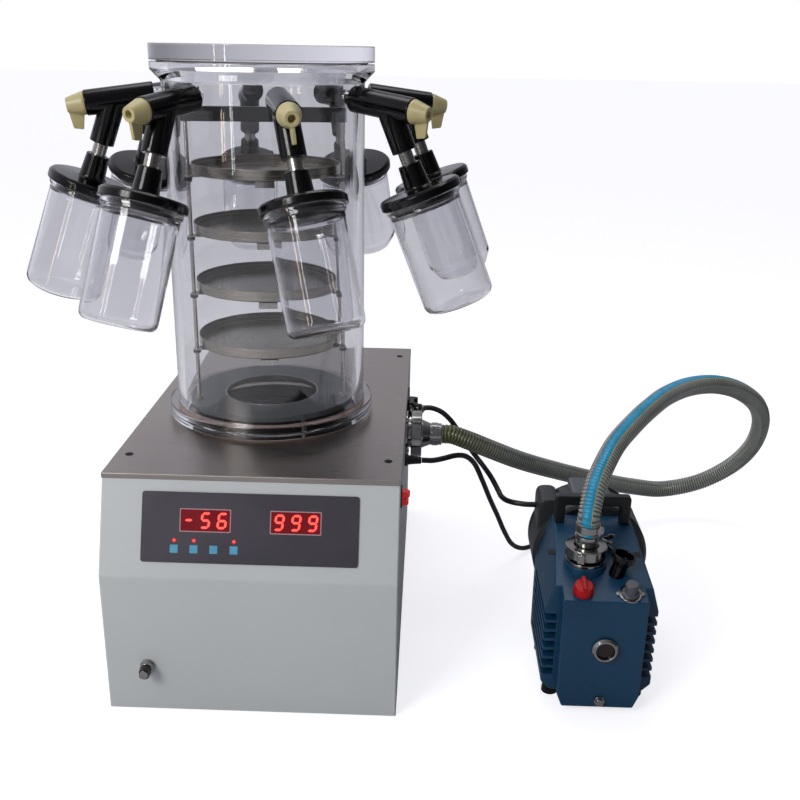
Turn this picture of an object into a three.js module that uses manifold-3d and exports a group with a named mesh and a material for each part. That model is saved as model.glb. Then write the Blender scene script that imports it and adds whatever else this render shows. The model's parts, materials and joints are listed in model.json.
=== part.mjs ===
// Bench-top manifold freeze dryer with its vacuum pump. Millimetres, +Z up.
// Origin: centre of the cabinet's base, on the surface it stands on.
// +X is the cabinet's right as seen from the front, and -Y is toward the user.
import * as THREE from "three";
import { mergeVertices } from "three/addons/utils/BufferGeometryUtils.js";
import Module from "manifold-3d";

const wasm = await Module();
wasm.setup();
const { Manifold, Mesh } = wasm;

// ---------- driving dimensions ----------
const GAP = 0.3;

// cabinet
const CAB_W = 370;
const CAB_D = 612;
const PLATE_TOP = 312;
const PANEL_DROP = 121;
const PANEL_RECEDE = 43.5;
const PLATE_EDGE = 7;
const SHEET = 2;
const PAN_H = 18;

// control panel on the sloping front
const PANEL_W = 268;
const PANEL_H = 87;
const PANEL_UP = 64;
const DISPLAY_W = 66;
const DISPLAY_H = 28;

// drying chamber, its axis a little left of the cabinet's centre line
const AXIS_X = -11;
const AXIS_Y = -10;
const TUBE_R = 133;
const TUBE_WALL = 10;
const CHAMBER_H = 474.7;
const FLANGE_OUT = 12;
const FLANGE_H = 18;
const SEAL_H = 3;
const LID_OUT = 13;
const LID_T = 20;
const TRAP_DEPTH = 160;
const TRAP_WALL = 2;

// tray rack
const ROD_R = 2.6;
const ROD_TO_TUBE = 17;
const ROD_TO_TRAY = 6;
const TRAY_H = 14;
const TRAY_COUNT = 4;
const TRAY_PITCH = 78;
const FIRST_TRAY = 76;
const RACK_H = 397;
const RACK_TURN = 8;
const ROD_SPREAD = 70;
const BAFFLE_UP = 28;
const BAFFLE_T = 8;
const BAFFLE_HOLE_R = 66;

// manifold stations: azimuth from the front toward the right, and twist of the leg
const PORT_DOWN = 39.3;
const DROOP = 7.5;
const VALVE_R = 16;
const PLUG_R = 10.8;
const VALVE_END = 95;
const LEG_AT = 59;
const LEG_ANGLE = 62.7;
const LEG_LENGTH = 58;
const TUBE_SHOWN = 16;
const FLASK_R = 46.5;
const FLASK_L = 148;
const FLASK_WALL = 2.5;
const STATIONS = [
  { name: "a", azimuth: 16, twist: 8, round: false },
  { name: "b", azimuth: 61, twist: 10, round: false },
  { name: "c", azimuth: 106, twist: -6, round: true },
  { name: "d", azimuth: 151, twist: 3, round: true },
  { name: "e", azimuth: 196, twist: 0, round: true },
  { name: "f", azimuth: 241, twist: -4, round: true },
  { name: "g", azimuth: 286, twist: -4, round: false },
  { name: "h", azimuth: 332, twist: -3, round: false },
];

// vacuum line
const PORT_Y = 10;
const PORT_BELOW = 44;
const HOSE_R = 16;
const INLET_X = 425;
const INLET_Y = -222;
const INLET_Z = 205;

// pump
const PUMP_X = 445;
const PUMP_FRONT = -285;
const CASE_BACK = -120;
const CASE_HALF_W = 72;
const CASE_TOP = 205;
const CASE_FRONT_TOP = 165;
const TOP_FLAT = -158;
const FOOT_H = 18;
const MOTOR_R = 74;
const MOTOR_BACK = 66;
const MOTOR_SIDE = 7;

// cords
const CORD_R = 4;
const COIL_X = 530;
const COIL_Y = 271.5;
const COIL_R = 42;

// facets round each kind of turned piece
const TUBE_FACETS = 32;
const TRAY_FACETS = 24;
const MOTOR_FACETS = 20;
const FITTING_FACETS = 16;
const FLASK_FACETS = 12;
const SMALL_FACETS = 10;
const ROD_FACETS = 8;
const BORE_FACETS = 6;

// ---------- tools ----------
const deg = Math.PI / 180;

// a closed geometry as a manifold solid, its faces pointing out
function solid(geometry) {
  const plain = geometry.clone();
  plain.deleteAttribute("normal");
  plain.deleteAttribute("uv");
  const merged = mergeVertices(plain, 1e-4);
  const index = merged.index.array;
  const vertProperties = new Float32Array(merged.getAttribute("position").array);
  const faces = [];
  for (let i = 0; i < index.length; i += 3) {
    const [a, b, c] = [index[i], index[i + 1], index[i + 2]];
    if (a !== b && b !== c && c !== a) faces.push([a, b, c]);
  }
  const build = (list) => {
    const triVerts = new Uint32Array(list.flat());
    return new Manifold(new Mesh({ numProp: 3, vertProperties, triVerts }));
  };
  const made = build(faces);
  return made.volume() > 0 ? made : build(faces.map(([a, b, c]) => [a, c, b]));
}

function geometryOf(body) {
  const { vertProperties, triVerts } = body.getMesh();
  const geometry = new THREE.BufferGeometry();
  geometry.setAttribute("position", new THREE.BufferAttribute(new Float32Array(vertProperties), 3));
  geometry.setIndex(new THREE.BufferAttribute(new Uint32Array(triVerts), 1));
  geometry.computeVertexNormals();
  return geometry;
}

function joined(...bodies) {
  return bodies.reduce((sum, next) => sum.add(next));
}

function placed(body, matrix) {
  return body.transform(matrix.elements.slice());
}

function shifted(body, x, y, z) {
  return body.translate([x, y, z]);
}

function box(x0, x1, y0, y1, z0, z1) {
  const geometry = new THREE.BoxGeometry(x1 - x0, y1 - y0, z1 - z0);
  geometry.translate((x0 + x1) / 2, (y0 + y1) / 2, (z0 + z1) / 2);
  return solid(geometry);
}

// a body of revolution about +Z; the profile's points are [radius, height]
function turned(profile, segments) {
  const points = profile.map(([r, z]) => new THREE.Vector2(r, z));
  if (profile[0][0] > 0) points.push(points[0].clone());
  const geometry = new THREE.LatheGeometry(points, segments);
  geometry.rotateX(Math.PI / 2);
  return solid(geometry);
}

function disc(radius, z0, z1, segments) {
  return turned([[0, z0], [radius, z0], [radius, z1], [0, z1]], segments);
}

// an outline in XY raised along Z
function raised(outline, z0, z1) {
  const shape = new THREE.Shape(outline.map(([a, b]) => new THREE.Vector2(a, b)));
  const geometry = new THREE.ExtrudeGeometry(shape, { depth: z1 - z0, bevelEnabled: false });
  geometry.translate(0, 0, z0);
  return solid(geometry);
}

function frame(xAxis, yAxis, zAxis, origin = [0, 0, 0]) {
  const matrix = new THREE.Matrix4();
  matrix.makeBasis(new THREE.Vector3(...xAxis), new THREE.Vector3(...yAxis), new THREE.Vector3(...zAxis));
  return matrix.setPosition(...origin);
}
const TO_X = frame([0, 1, 0], [0, 0, 1], [1, 0, 0]);
const TO_Y = frame([1, 0, 0], [0, 0, 1], [0, -1, 0]);

// an outline drawn as [y, z] and run along X
function runX(outline, x0, x1) {
  return placed(raised(outline, x0, x1), TO_X);
}

// an outline drawn as [x, z] and run along Y
function runY(outline, y0, y1) {
  return placed(raised(outline, -y1, -y0), TO_Y);
}

// turns a body's +Z toward a direction and puts its origin at a point
function aimed(body, origin, direction) {
  const turn = new THREE.Quaternion();
  turn.setFromUnitVectors(new THREE.Vector3(0, 0, 1), new THREE.Vector3(...direction).normalize());
  return placed(body, new THREE.Matrix4().makeRotationFromQuaternion(turn).setPosition(...origin));
}

function rod(from, to, radius, segments) {
  const run = to.map((value, i) => value - from[i]);
  return aimed(disc(radius, 0, Math.hypot(...run), segments), from, run);
}

function roundedRectangle(width, height, radius, steps) {
  const outline = [];
  for (let corner = 0; corner < 4; corner += 1) {
    const x = (corner === 0 || corner === 3 ? 1 : -1) * (width / 2 - radius);
    const y = (corner < 2 ? 1 : -1) * (height / 2 - radius);
    for (let i = 0; i <= steps; i += 1) {
      const angle = (corner * 90 + (90 * i) / steps) * deg;
      outline.push([x + radius * Math.cos(angle), y + radius * Math.sin(angle)]);
    }
  }
  return outline;
}

// a polygonal tube of a given radius along a smooth curve through the route's points
function swept(route, radius, sides, steps) {
  const points = route.map((p) => new THREE.Vector3(...p));
  const extrudePath = new THREE.CatmullRomCurve3(points, false, "centripetal");
  const outline = [];
  for (let i = 0; i < sides; i += 1) {
    const angle = ((i + 0.5) * 360 * deg) / sides;
    outline.push(new THREE.Vector2(radius * Math.cos(angle), radius * Math.sin(angle)));
  }
  const shape = new THREE.Shape(outline);
  return solid(new THREE.ExtrudeGeometry(shape, { steps, bevelEnabled: false, extrudePath }));
}

// ---------- materials ----------
function finish(name, color, roughness, metalness, extra = {}) {
  return new THREE.MeshStandardMaterial({ name, color, roughness, metalness, ...extra });
}
const look = {
  paint: finish("cabinet_paint", 0xc3c8ca, 0.45, 0.1),
  steel: finish("brushed_steel", 0xa9a7a4, 0.35, 1),
  chrome: finish("chrome", 0xd0d0d0, 0.12, 1),
  film: finish("panel_film", 0x33363f, 0.4, 0),
  red: finish("red_plastic", 0xc01820, 0.35, 0),
  black: finish("black_plastic", 0x16171a, 0.4, 0),
  rubber: finish("black_rubber", 0x111214, 0.3, 0),
  orange: finish("orange_seal", 0xb4573a, 0.6, 0),
  acrylic: finish("clear_acrylic", 0xe6eaea, 0.05, 0, { transparent: true, opacity: 0.25 }),
  glass: finish("clear_glass", 0xeef2f2, 0.02, 0, { transparent: true, opacity: 0.25 }),
  ivory: finish("ivory_plastic", 0xd8cfa0, 0.4, 0),
  grey: finish("grey_plastic", 0x4a4d50, 0.5, 0),
  hose: finish("ribbed_hose", 0x6f6f62, 0.4, 0),
  blue: finish("pump_blue", 0x2a4d70, 0.45, 0.1),
  motor: finish("motor_grey", 0x2b2d30, 0.5, 0.2),
  cord: finish("cord_black", 0x101010, 0.5, 0),
};

const group = new THREE.Group();
function add(name, body, material) {
  const mesh = new THREE.Mesh(geometryOf(body), material);
  mesh.name = name;
  group.add(mesh);
}

// ---------- cabinet ----------
const halfW = CAB_W / 2;
const front = -CAB_D / 2;
const back = CAB_D / 2;
const crease = PLATE_TOP - PANEL_DROP;
const shellTop = PLATE_TOP - PLATE_EDGE - GAP;
const shellFront = front + PANEL_RECEDE;
const portZ = PLATE_TOP - PORT_BELOW;
const wallPoint = [halfW, PORT_Y, portZ];

// fittings of the right wall as [y, distance below the plate's top]
const SWITCH = [-243, 30];
const MAINS_GLAND = [-40, 66];
const PUMP_SOCKET = [74, 26];
const FUSE = [108, 26];
const SWITCH_W = 14;
const SWITCH_H = 20;
const GLAND_L = 24;
const onWall = ([y, below]) => [halfW, y, PLATE_TOP - below];

const VENT_IN = 53.5;
const VENT_Z = 65;
const STEM_R = 3;
const ventPoint = [-halfW + VENT_IN, front, VENT_Z];

// stem of the vent valve, bolted through the front
function ventStem() {
  const profile = [[0, -6], [9, -6], [9, 3], [6, 4], [6, 9.7], [STEM_R, 9.7], [STEM_R, 21], [0, 21]];
  return aimed(turned(profile, SMALL_FACETS), ventPoint, [0, -1, 0]);
}

// tube and flange of the vacuum port, let through the right wall
const BORE_R = 13;
const BIG_TUBE = 21;
const BIG_FLANGE = 27.5;
const RIM = 1.8;
const CHAMFER = 1.7;
const BIG_FACE = 15.5;
function vacuumPort() {
  const profile = [
    [17, -12], [BIG_TUBE, -12], [BIG_TUBE, -1], [34, -1], [34, 3], [BIG_TUBE, 3],
    [BIG_TUBE, BIG_FACE - RIM - CHAMFER], [BIG_FLANGE, BIG_FACE - RIM], [BIG_FLANGE, BIG_FACE], [17, BIG_FACE],
  ];
  return aimed(turned(profile, FITTING_FACETS), wallPoint, [1, 0, 0]);
}

function strainRelief() {
  const profile = [[0, -1], [9, -1], [9, 4], [7, 5], [5.5, GLAND_L], [0, GLAND_L]];
  return aimed(turned(profile, ROD_FACETS), onWall(MAINS_GLAND), [1, 0, 0]);
}

// folded sheet, open below, above and behind, with a crease across its front
function cabinetShell() {
  const over = 20;
  const slope = PANEL_RECEDE / (shellTop - crease);
  const outer = [
    [front, 1], [back - GAP, 1], [back - GAP, shellTop], [shellFront, shellTop], [front, crease],
  ];
  const hollow = [
    [front + SHEET, -over], [back + over, -over], [back + over, shellTop + over],
    [shellFront + SHEET + over * slope, shellTop + over], [front + SHEET, crease],
  ];
  const [, y, z] = onWall(SWITCH);
  const switchHole = box(
    halfW - over, halfW + over,
    y - SWITCH_W / 2, y + SWITCH_W / 2,
    z - SWITCH_H / 2, z + SWITCH_H / 2,
  );
  const portHole = aimed(disc(18, -over, over, FITTING_FACETS), wallPoint, [1, 0, 0]);
  return runX(outer, -halfW, halfW)
    .subtract(runX(hollow, -halfW + SHEET, halfW - SHEET))
    .subtract(switchHole)
    .subtract(portHole)
    .add(ventStem())
    .add(vacuumPort())
    .add(strainRelief());
}
add("cabinet_shell", cabinetShell(), look.paint);

const insideW = halfW - SHEET - GAP;
function basePan() {
  const frontEdge = front + SHEET + GAP;
  const backEdge = back - 2 * SHEET;
  const outer = box(-insideW, insideW, frontEdge, backEdge, 0, PAN_H);
  const hollow = box(
    -insideW + SHEET, insideW - SHEET,
    frontEdge + SHEET, backEdge - SHEET,
    SHEET, PAN_H + 1,
  );
  return outer.subtract(hollow);
}
add("base_pan", basePan(), look.paint);

// rear panel with two columns of cooling slots
const SLOT_L = 110;
const SLOT_H = 7;
const SLOT_PITCH = 24;
const SLOT_ROWS = 7;
const FIRST_SLOT = 60;
function rearPanel() {
  let panel = box(-insideW, insideW, back - 2 * SHEET + GAP, back - SHEET + GAP, 1, shellTop);
  for (const x of [-halfW / 2, halfW / 2]) {
    for (let row = 0; row < SLOT_ROWS; row += 1) {
      const z = FIRST_SLOT + row * SLOT_PITCH;
      const slot = box(x - SLOT_L / 2, x + SLOT_L / 2, back - 10, back + 5, z, z + SLOT_H);
      panel = panel.subtract(slot);
    }
  }
  return panel;
}
add("rear_panel", rearPanel(), look.paint);

// stainless top plate with folded edges and the trap's hole
const rodCircle = TUBE_R - TUBE_WALL - ROD_TO_TUBE;
const trayR = rodCircle - ROD_TO_TRAY;
const baffleR = rodCircle + 10;
const postCircle = baffleR - 4;
const POST_R = 3.5;
const trapR = postCircle - POST_R - 1.5;
function topPlate() {
  const half = halfW + 0.5;
  const frontEdge = shellFront - 0.5;
  const backEdge = back + 0.5;
  const under = PLATE_TOP - PLATE_EDGE;
  const outer = box(-half, half, frontEdge, backEdge, under, PLATE_TOP);
  const hollow = box(
    -half + SHEET, half - SHEET,
    frontEdge + SHEET, backEdge - SHEET,
    under - 5, PLATE_TOP - SHEET,
  );
  const hole = shifted(disc(trapR, under - 5, PLATE_TOP + 5, TUBE_FACETS), AXIS_X, AXIS_Y, 0);
  return outer.subtract(hollow).subtract(hole);
}
add("top_plate", topPlate(), look.steel);

// film-faced panel with two display windows and four keys, lying on the slope
const slopeRise = shellTop - crease;
const slopeLength = Math.hypot(PANEL_RECEDE, slopeRise);
const slopeFrame = frame(
  [1, 0, 0],
  [0, PANEL_RECEDE / slopeLength, slopeRise / slopeLength],
  [0, -slopeRise / slopeLength, PANEL_RECEDE / slopeLength],
  [0, front, crease],
);
const PANEL_T = 1.5;
const DISPLAYS = [-54, 57.5];
const KEYS = [-91.7, -67.3, -42.8, -17.9];
const KEY = 10;
function controlPanel() {
  const face = GAP + PANEL_T;
  let panel = shifted(raised(roundedRectangle(PANEL_W, PANEL_H, 4, 2), GAP, face), 1, PANEL_UP, 0);
  for (const x of DISPLAYS) {
    const y = PANEL_UP + 9;
    const window = box(
      x - DISPLAY_W / 2, x + DISPLAY_W / 2,
      y - DISPLAY_H / 2, y + DISPLAY_H / 2,
      face - 0.8, face + 1,
    );
    panel = panel.subtract(window);
  }
  for (const x of KEYS) {
    const y = PANEL_UP - 26.5;
    panel = panel.add(box(x - KEY / 2, x + KEY / 2, y - KEY / 2, y + KEY / 2, face - 0.2, face + 0.6));
  }
  return placed(panel, slopeFrame);
}
add("control_panel", controlPanel(), look.film);

// power switch: a two-winged key, standing in its "on" position
const ROCK = 8;
function powerRocker() {
  const reach = SWITCH_H / 2 - 1;
  const outline = [
    [-reach, -3], [reach, -3], [reach, 1.8], [reach / 2, 3.2], [0, 2.2], [-reach / 2, 3.2], [-reach, 1.8],
  ];
  const key = raised(outline, -SWITCH_W / 2 + 0.5, SWITCH_W / 2 - 0.5);
  const place = frame([0, 0, 1], [1, 0, 0], [0, 1, 0], onWall(SWITCH));
  return placed(key, place.multiply(new THREE.Matrix4().makeRotationZ(ROCK * deg)));
}
add("power_rocker", powerRocker(), look.red);

// ring-shaped vent knob with two flats, turning on the stem
function ventKnob() {
  const inner = STEM_R + GAP;
  const blank = turned([[inner, 10], [7.5, 10], [7.5, 20], [inner, 20]], SMALL_FACETS);
  return aimed(blank.intersect(box(-6, 6, -9, 9, 5, 25)), ventPoint, [0, -1, 0]);
}
add("vent_knob", ventKnob(), look.black);

// cold trap: a deep cup hung under the top plate by its flange
function coldTrap() {
  const outer = trapR - GAP;
  const inner = outer - TRAP_WALL;
  const bottom = PLATE_TOP - TRAP_DEPTH;
  const under = PLATE_TOP - SHEET - GAP;
  const profile = [
    [0, bottom], [outer - 10, bottom], [outer, bottom + 10], [outer, under - 2], [outer + 14, under - 2],
    [outer + 14, under], [outer, under], [outer, PLATE_TOP], [inner, PLATE_TOP],
    [inner, bottom + 11], [inner - 9, bottom + TRAP_WALL], [0, bottom + TRAP_WALL],
  ];
  return shifted(turned(profile, TUBE_FACETS), AXIS_X, AXIS_Y, 0);
}
add("cold_trap", coldTrap(), look.steel);

// plate on the right wall that carries the pump's plug in its socket and the fuse holder
const PLUG_OUT = 23;
function sideConnectors() {
  const [x, y, z] = onWall(PUMP_SOCKET);
  const [, fuseY, fuseZ] = onWall(FUSE);
  const plate = box(x + GAP, x + 3, y - 15, fuseY + 12, z - 18, z + 18);
  const plug = box(x + 2, x + 10, y - 13, y + 13, z - 12, z + 12);
  const neck = turned([[0, 9], [8, 9], [5.5, PLUG_OUT], [0, PLUG_OUT]], ROD_FACETS);
  const fuse = turned([[0, 2], [6, 2], [6, 9], [5, 16], [0, 16]], ROD_FACETS);
  return joined(plate, plug, aimed(neck, [x, y, z], [1, 0, 0]), aimed(fuse, [x, fuseY, fuseZ], [1, 0, 0]));
}
add("side_connectors", sideConnectors(), look.black);

// ---------- drying chamber ----------
const sealLow = PLATE_TOP + GAP;
const chamberLow = sealLow + SEAL_H + GAP;
const chamberTop = chamberLow + CHAMBER_H;
const tubeIn = TUBE_R - TUBE_WALL;
const flangeR = TUBE_R + FLANGE_OUT;
const lidR = TUBE_R + LID_OUT;
const stationZ = chamberTop - PORT_DOWN;

function ring(inner, outer, z0, z1) {
  const profile = [[inner, z0], [outer, z0], [outer, z1], [inner, z1]];
  return shifted(turned(profile, TUBE_FACETS), AXIS_X, AXIS_Y, 0);
}
add("base_seal", ring(tubeIn + 1, TUBE_R + 1, sealLow, sealLow + SEAL_H), look.orange);

function stationFrame({ azimuth, twist }) {
  return new THREE.Matrix4()
    .makeTranslation(AXIS_X, AXIS_Y, stationZ)
    .multiply(new THREE.Matrix4().makeRotationZ((azimuth - 90) * deg))
    .multiply(new THREE.Matrix4().makeTranslation(TUBE_R, 0, 0))
    .multiply(new THREE.Matrix4().makeRotationY(DROOP * deg))
    .multiply(new THREE.Matrix4().makeRotationX(twist * deg));
}

// acrylic tube with a grooved base flange, a flared top flange and eight bored stubs
const STUB_R = 9;
const STUB_L = 19.7;
const STUB_BORE = 5;
function chamberBody() {
  const groove = chamberLow + FLANGE_H / 2;
  const flangeTop = chamberLow + FLANGE_H;
  const profile = [
    [tubeIn, chamberLow], [flangeR, chamberLow], [flangeR, groove - 1], [flangeR - 1.5, groove],
    [flangeR, groove + 1], [flangeR, flangeTop], [TUBE_R, flangeTop],
    [TUBE_R, chamberTop - 23], [lidR, chamberTop - 9.5], [lidR, chamberTop], [tubeIn, chamberTop],
  ];
  let body = shifted(turned(profile, TUBE_FACETS), AXIS_X, AXIS_Y, 0);
  const stub = placed(disc(STUB_R, -5, STUB_L, FLASK_FACETS), TO_X);
  const bore = placed(disc(STUB_BORE, -TUBE_WALL - 10, STUB_L + 5, BORE_FACETS), TO_X);
  for (const station of STATIONS) {
    const place = stationFrame(station);
    body = body.add(placed(stub, place)).subtract(placed(bore, place));
  }
  return body;
}
add("chamber_body", chamberBody(), look.acrylic);

const LID_SEAL_H = 1.2;
const lidSealLow = chamberTop + GAP;
const lidLow = lidSealLow + LID_SEAL_H + GAP;
add("lid_seal", ring(TUBE_R, TUBE_R + 4, lidSealLow, lidSealLow + LID_SEAL_H), look.black);
function lid() {
  const top = lidLow + LID_T;
  const profile = [[0, lidLow], [lidR, lidLow], [lidR, top - 1], [lidR - 1, top], [0, top]];
  return shifted(turned(profile, TUBE_FACETS), AXIS_X, AXIS_Y, 0);
}
add("lid", lid(), look.acrylic);

// baffle ring on three short posts that stand on the top plate
const baffleTop = PLATE_TOP + BAFFLE_UP;
function baffleRing() {
  let baffle = ring(BAFFLE_HOLE_R, baffleR, baffleTop - BAFFLE_T, baffleTop);
  for (const angle of [60, 180, 300]) {
    const x = AXIS_X + postCircle * Math.cos(angle * deg);
    const y = AXIS_Y + postCircle * Math.sin(angle * deg);
    baffle = baffle.add(rod([x, y, sealLow], [x, y, baffleTop - BAFFLE_T / 2], POST_R, ROD_FACETS));
  }
  return baffle;
}
add("baffle_ring", baffleRing(), look.grey);

// rack: two rods, a crossbar and cross-shaped tray supports; its own +X runs toward the front
const rackFrame = new THREE.Matrix4()
  .makeTranslation(AXIS_X, AXIS_Y, baffleTop)
  .multiply(new THREE.Matrix4().makeRotationZ((RACK_TURN - 90) * deg));
const trayFloors = [];
for (let i = TRAY_COUNT - 1; i >= 0; i -= 1) {
  trayFloors.push(FIRST_TRAY + i * TRAY_PITCH);
}
const BAR_H = 19;
const STRIP_T = 1.5;
const STRIP_HALF = 12;
const LIP_H = 8;
function rackBody() {
  const rodX = rodCircle * Math.cos(ROD_SPREAD * deg);
  const rodY = rodCircle * Math.sin(ROD_SPREAD * deg);
  let rack = box(rodX - 3, rodX + 3, -rodY - 5, rodY + 5, RACK_H - BAR_H, RACK_H);
  for (const y of [-rodY, rodY]) {
    rack = rack.add(rod([rodX, y, GAP], [rodX, y, RACK_H - BAR_H / 2], ROD_R, ROD_FACETS));
    rack = rack.add(rod([rodX, y, GAP], [rodX, y, GAP + 5], 2 * ROD_R, ROD_FACETS));
  }
  for (const floor of trayFloors) {
    const top = floor - GAP;
    const tip = trayR + 1;
    rack = rack.add(box(rodX - 9, rodX + 9, -rodY - 3.5, rodY + 3.5, top - STRIP_T, top));
    rack = rack.add(box(-0.84 * trayR, tip, -STRIP_HALF, STRIP_HALF, top - STRIP_T, top));
    rack = rack.add(box(tip - STRIP_T, tip, -STRIP_HALF, STRIP_HALF, top - LIP_H, top - STRIP_T / 2));
  }
  return placed(rack, rackFrame);
}
add("rack_frame", rackBody(), look.steel);

const TRAY_SHEET = 1.2;
function tray() {
  const inner = trayR - TRAY_SHEET;
  const profile = [
    [0, 0], [trayR - 1.5, 0], [trayR, 1.5], [trayR, TRAY_H],
    [inner, TRAY_H], [inner, TRAY_SHEET], [0, TRAY_SHEET],
  ];
  return turned(profile, TRAY_FACETS);
}
trayFloors.forEach((floor, i) => {
  add(`tray_${i + 1}`, placed(shifted(tray(), 0, 0, floor), rackFrame), look.steel);
});

// ---------- manifold stations ----------
// in a station's own frame +X runs outward along the valve, and the leg hangs down and out
const legDirection = [Math.cos(LEG_ANGLE * deg), 0, -Math.sin(LEG_ANGLE * deg)];
const onLeg = (body) => aimed(body, [LEG_AT, 0, 0], legDirection);
const along = (body) => placed(body, TO_X);
const capFoot = LEG_LENGTH + TUBE_SHOWN;
const capAt = capFoot + 24;
const capFace = capAt + 16;
const capR = FLASK_R + 6.5;
const neckR = FLASK_R - 4.5;
const plugSeat = VALVE_END - 50;

// rubber valve body with its leg, steel tube and the cap that plugs the flask's neck
function valve() {
  const bodyProfile = [
    [0, STUB_L + GAP], [STUB_R + GAP, STUB_L + GAP], [STUB_R + GAP, 8], [VALVE_R, 8],
    [VALVE_R, VALVE_END - 1], [VALVE_R - 1, VALVE_END], [0, VALVE_END],
  ];
  const capProfile = [
    [0, capFoot], [VALVE_R - 1.5, capFoot], [VALVE_R + 0.5, capAt - 1], [capR - 3, capAt],
    [capR, capAt + 3], [capR, capFace], [neckR - GAP, capFace], [neckR - 1.5, capFace + 8], [0, capFace + 8],
  ];
  return along(turned(bodyProfile, FLASK_FACETS))
    .add(onLeg(disc(VALVE_R - 0.5, 0, LEG_LENGTH, SMALL_FACETS)))
    .add(onLeg(disc(STUB_R, LEG_LENGTH - 4, capFoot + 4, ROD_FACETS)))
    .add(onLeg(turned(capProfile, FLASK_FACETS)))
    .subtract(onLeg(disc(STUB_BORE, 0, capFace + 20, BORE_FACETS)))
    .subtract(along(disc(PLUG_R + 0.5, plugSeat, VALVE_END + 5, FLASK_FACETS)));
}

// stopcock plug with its flat handle
function plug() {
  const head = VALVE_END + GAP;
  const profile = [
    [0, plugSeat + 1], [PLUG_R, plugSeat + 1], [PLUG_R, head], [VALVE_R - 1.5, head],
    [VALVE_R - 1.5, head + 3], [9, head + 23], [4.5, head + 23], [0, head + 12],
  ];
  const handle = [[head + 1.5, -9], [head + 4, -36], [head + 15, -34], [head + 19, -8]];
  return along(turned(profile, SMALL_FACETS)).add(runY(handle, -2.3, 2.3));
}

function flask(round) {
  const mouth = capFace + GAP;
  const end = mouth + FLASK_L - (round ? 5 : 0);
  const inner = FLASK_R - FLASK_WALL;
  const floor = end - FLASK_WALL;
  const outerFoot = round
    ? [[FLASK_R, end - 48], [FLASK_R - 4, end - 28], [FLASK_R - 17, end - 9]]
    : [[FLASK_R, end - 18], [FLASK_R - 4, end - 6], [FLASK_R - 14, end]];
  const innerFoot = round
    ? [[inner - 16, floor - 9], [inner - 4, floor - 27], [inner, floor - 46]]
    : [[inner - 12, floor], [inner - 3, floor - 6], [inner, floor - 16]];
  const profile = [
    [0, floor], ...innerFoot, [inner, mouth + 15], [neckR, mouth + 9], [neckR, mouth],
    [FLASK_R + 2.5, mouth], [FLASK_R + 2.5, mouth + 5], [FLASK_R, mouth + 9], ...outerFoot, [0, end],
  ];
  return onLeg(turned(profile, FLASK_FACETS));
}

const valveSolid = valve();
const plugSolid = plug();
const flatFlask = flask(false);
const roundFlask = flask(true);
for (const station of STATIONS) {
  const place = stationFrame(station);
  add(`valve_${station.name}`, placed(valveSolid, place), look.rubber);
  add(`plug_${station.name}`, placed(plugSolid, place), look.ivory);
  add(`flask_${station.name}`, placed(station.round ? roundFlask : flatFlask, place), look.glass);
}

// ---------- vacuum line ----------
const HOSE_TAIL = HOSE_R + 1.5;
const CONE_END = 53;
function unitAdapter() {
  const start = BIG_FACE + GAP;
  const profile = [
    [BORE_R, start], [BIG_FLANGE, start], [BIG_FLANGE, start + RIM], [BIG_TUBE, start + RIM + CHAMFER],
    [BIG_TUBE, start + 9], [HOSE_TAIL, start + 20], [HOSE_TAIL, CONE_END], [BORE_R, CONE_END],
  ];
  return aimed(turned(profile, FITTING_FACETS), wallPoint, [1, 0, 0]);
}
add("unit_adapter", unitAdapter(), look.chrome);

// clamp ring about Z with a V groove over both flanges, a hinge lug at -Y and a bolt at +Y
const BOLT_R = 2.2;
const BOLT_OUT = 4;
function clampRing(flange, tube, outer, width) {
  const half = width / 2;
  const lip = tube + 2;
  const open = RIM + 1.5 * GAP;
  const root = open + (CHAMFER * (flange + GAP - lip)) / (flange - tube);
  const profile = [
    [lip, root], [lip, half], [outer, half], [outer, -half],
    [lip, -half], [lip, -root], [flange + GAP, -open], [flange + GAP, open],
  ];
  return joined(
    turned(profile, FITTING_FACETS),
    box(-7, 7, outer - 3, outer + BOLT_OUT + 4, 1 - half, half - 1),
    box(-5, 5, -outer - 6, 3 - outer, 1 - half, half - 1),
    rod([6, outer + BOLT_OUT, 0], [28, outer + BOLT_OUT, 0], BOLT_R, ROD_FACETS),
  );
}
function wingNut(outer) {
  const bore = BOLT_R + GAP;
  const hub = along(turned([[bore, 15], [5, 15], [4, 22], [bore, 22]], ROD_FACETS));
  const blade = runY([[15.5, 3.2], [17, 8], [24, 11], [27, 9], [26, 6], [21, 3.2]], -1.3, 1.3);
  return shifted(joined(hub, blade, blade.rotate([180, 0, 0])), 0, outer + BOLT_OUT, 0);
}
const UNIT_CLAMP_R = 34;
const PUMP_CLAMP_R = 27;
const unitClampFrame = frame([0, 0, 1], [0, 1, 0], [-1, 0, 0], [halfW + BIG_FACE + GAP / 2, PORT_Y, portZ]);
add("unit_clamp", placed(clampRing(BIG_FLANGE, BIG_TUBE, UNIT_CLAMP_R, 16), unitClampFrame), look.chrome);
add("unit_wing_nut", placed(wingNut(UNIT_CLAMP_R), unitClampFrame), look.chrome);

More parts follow.
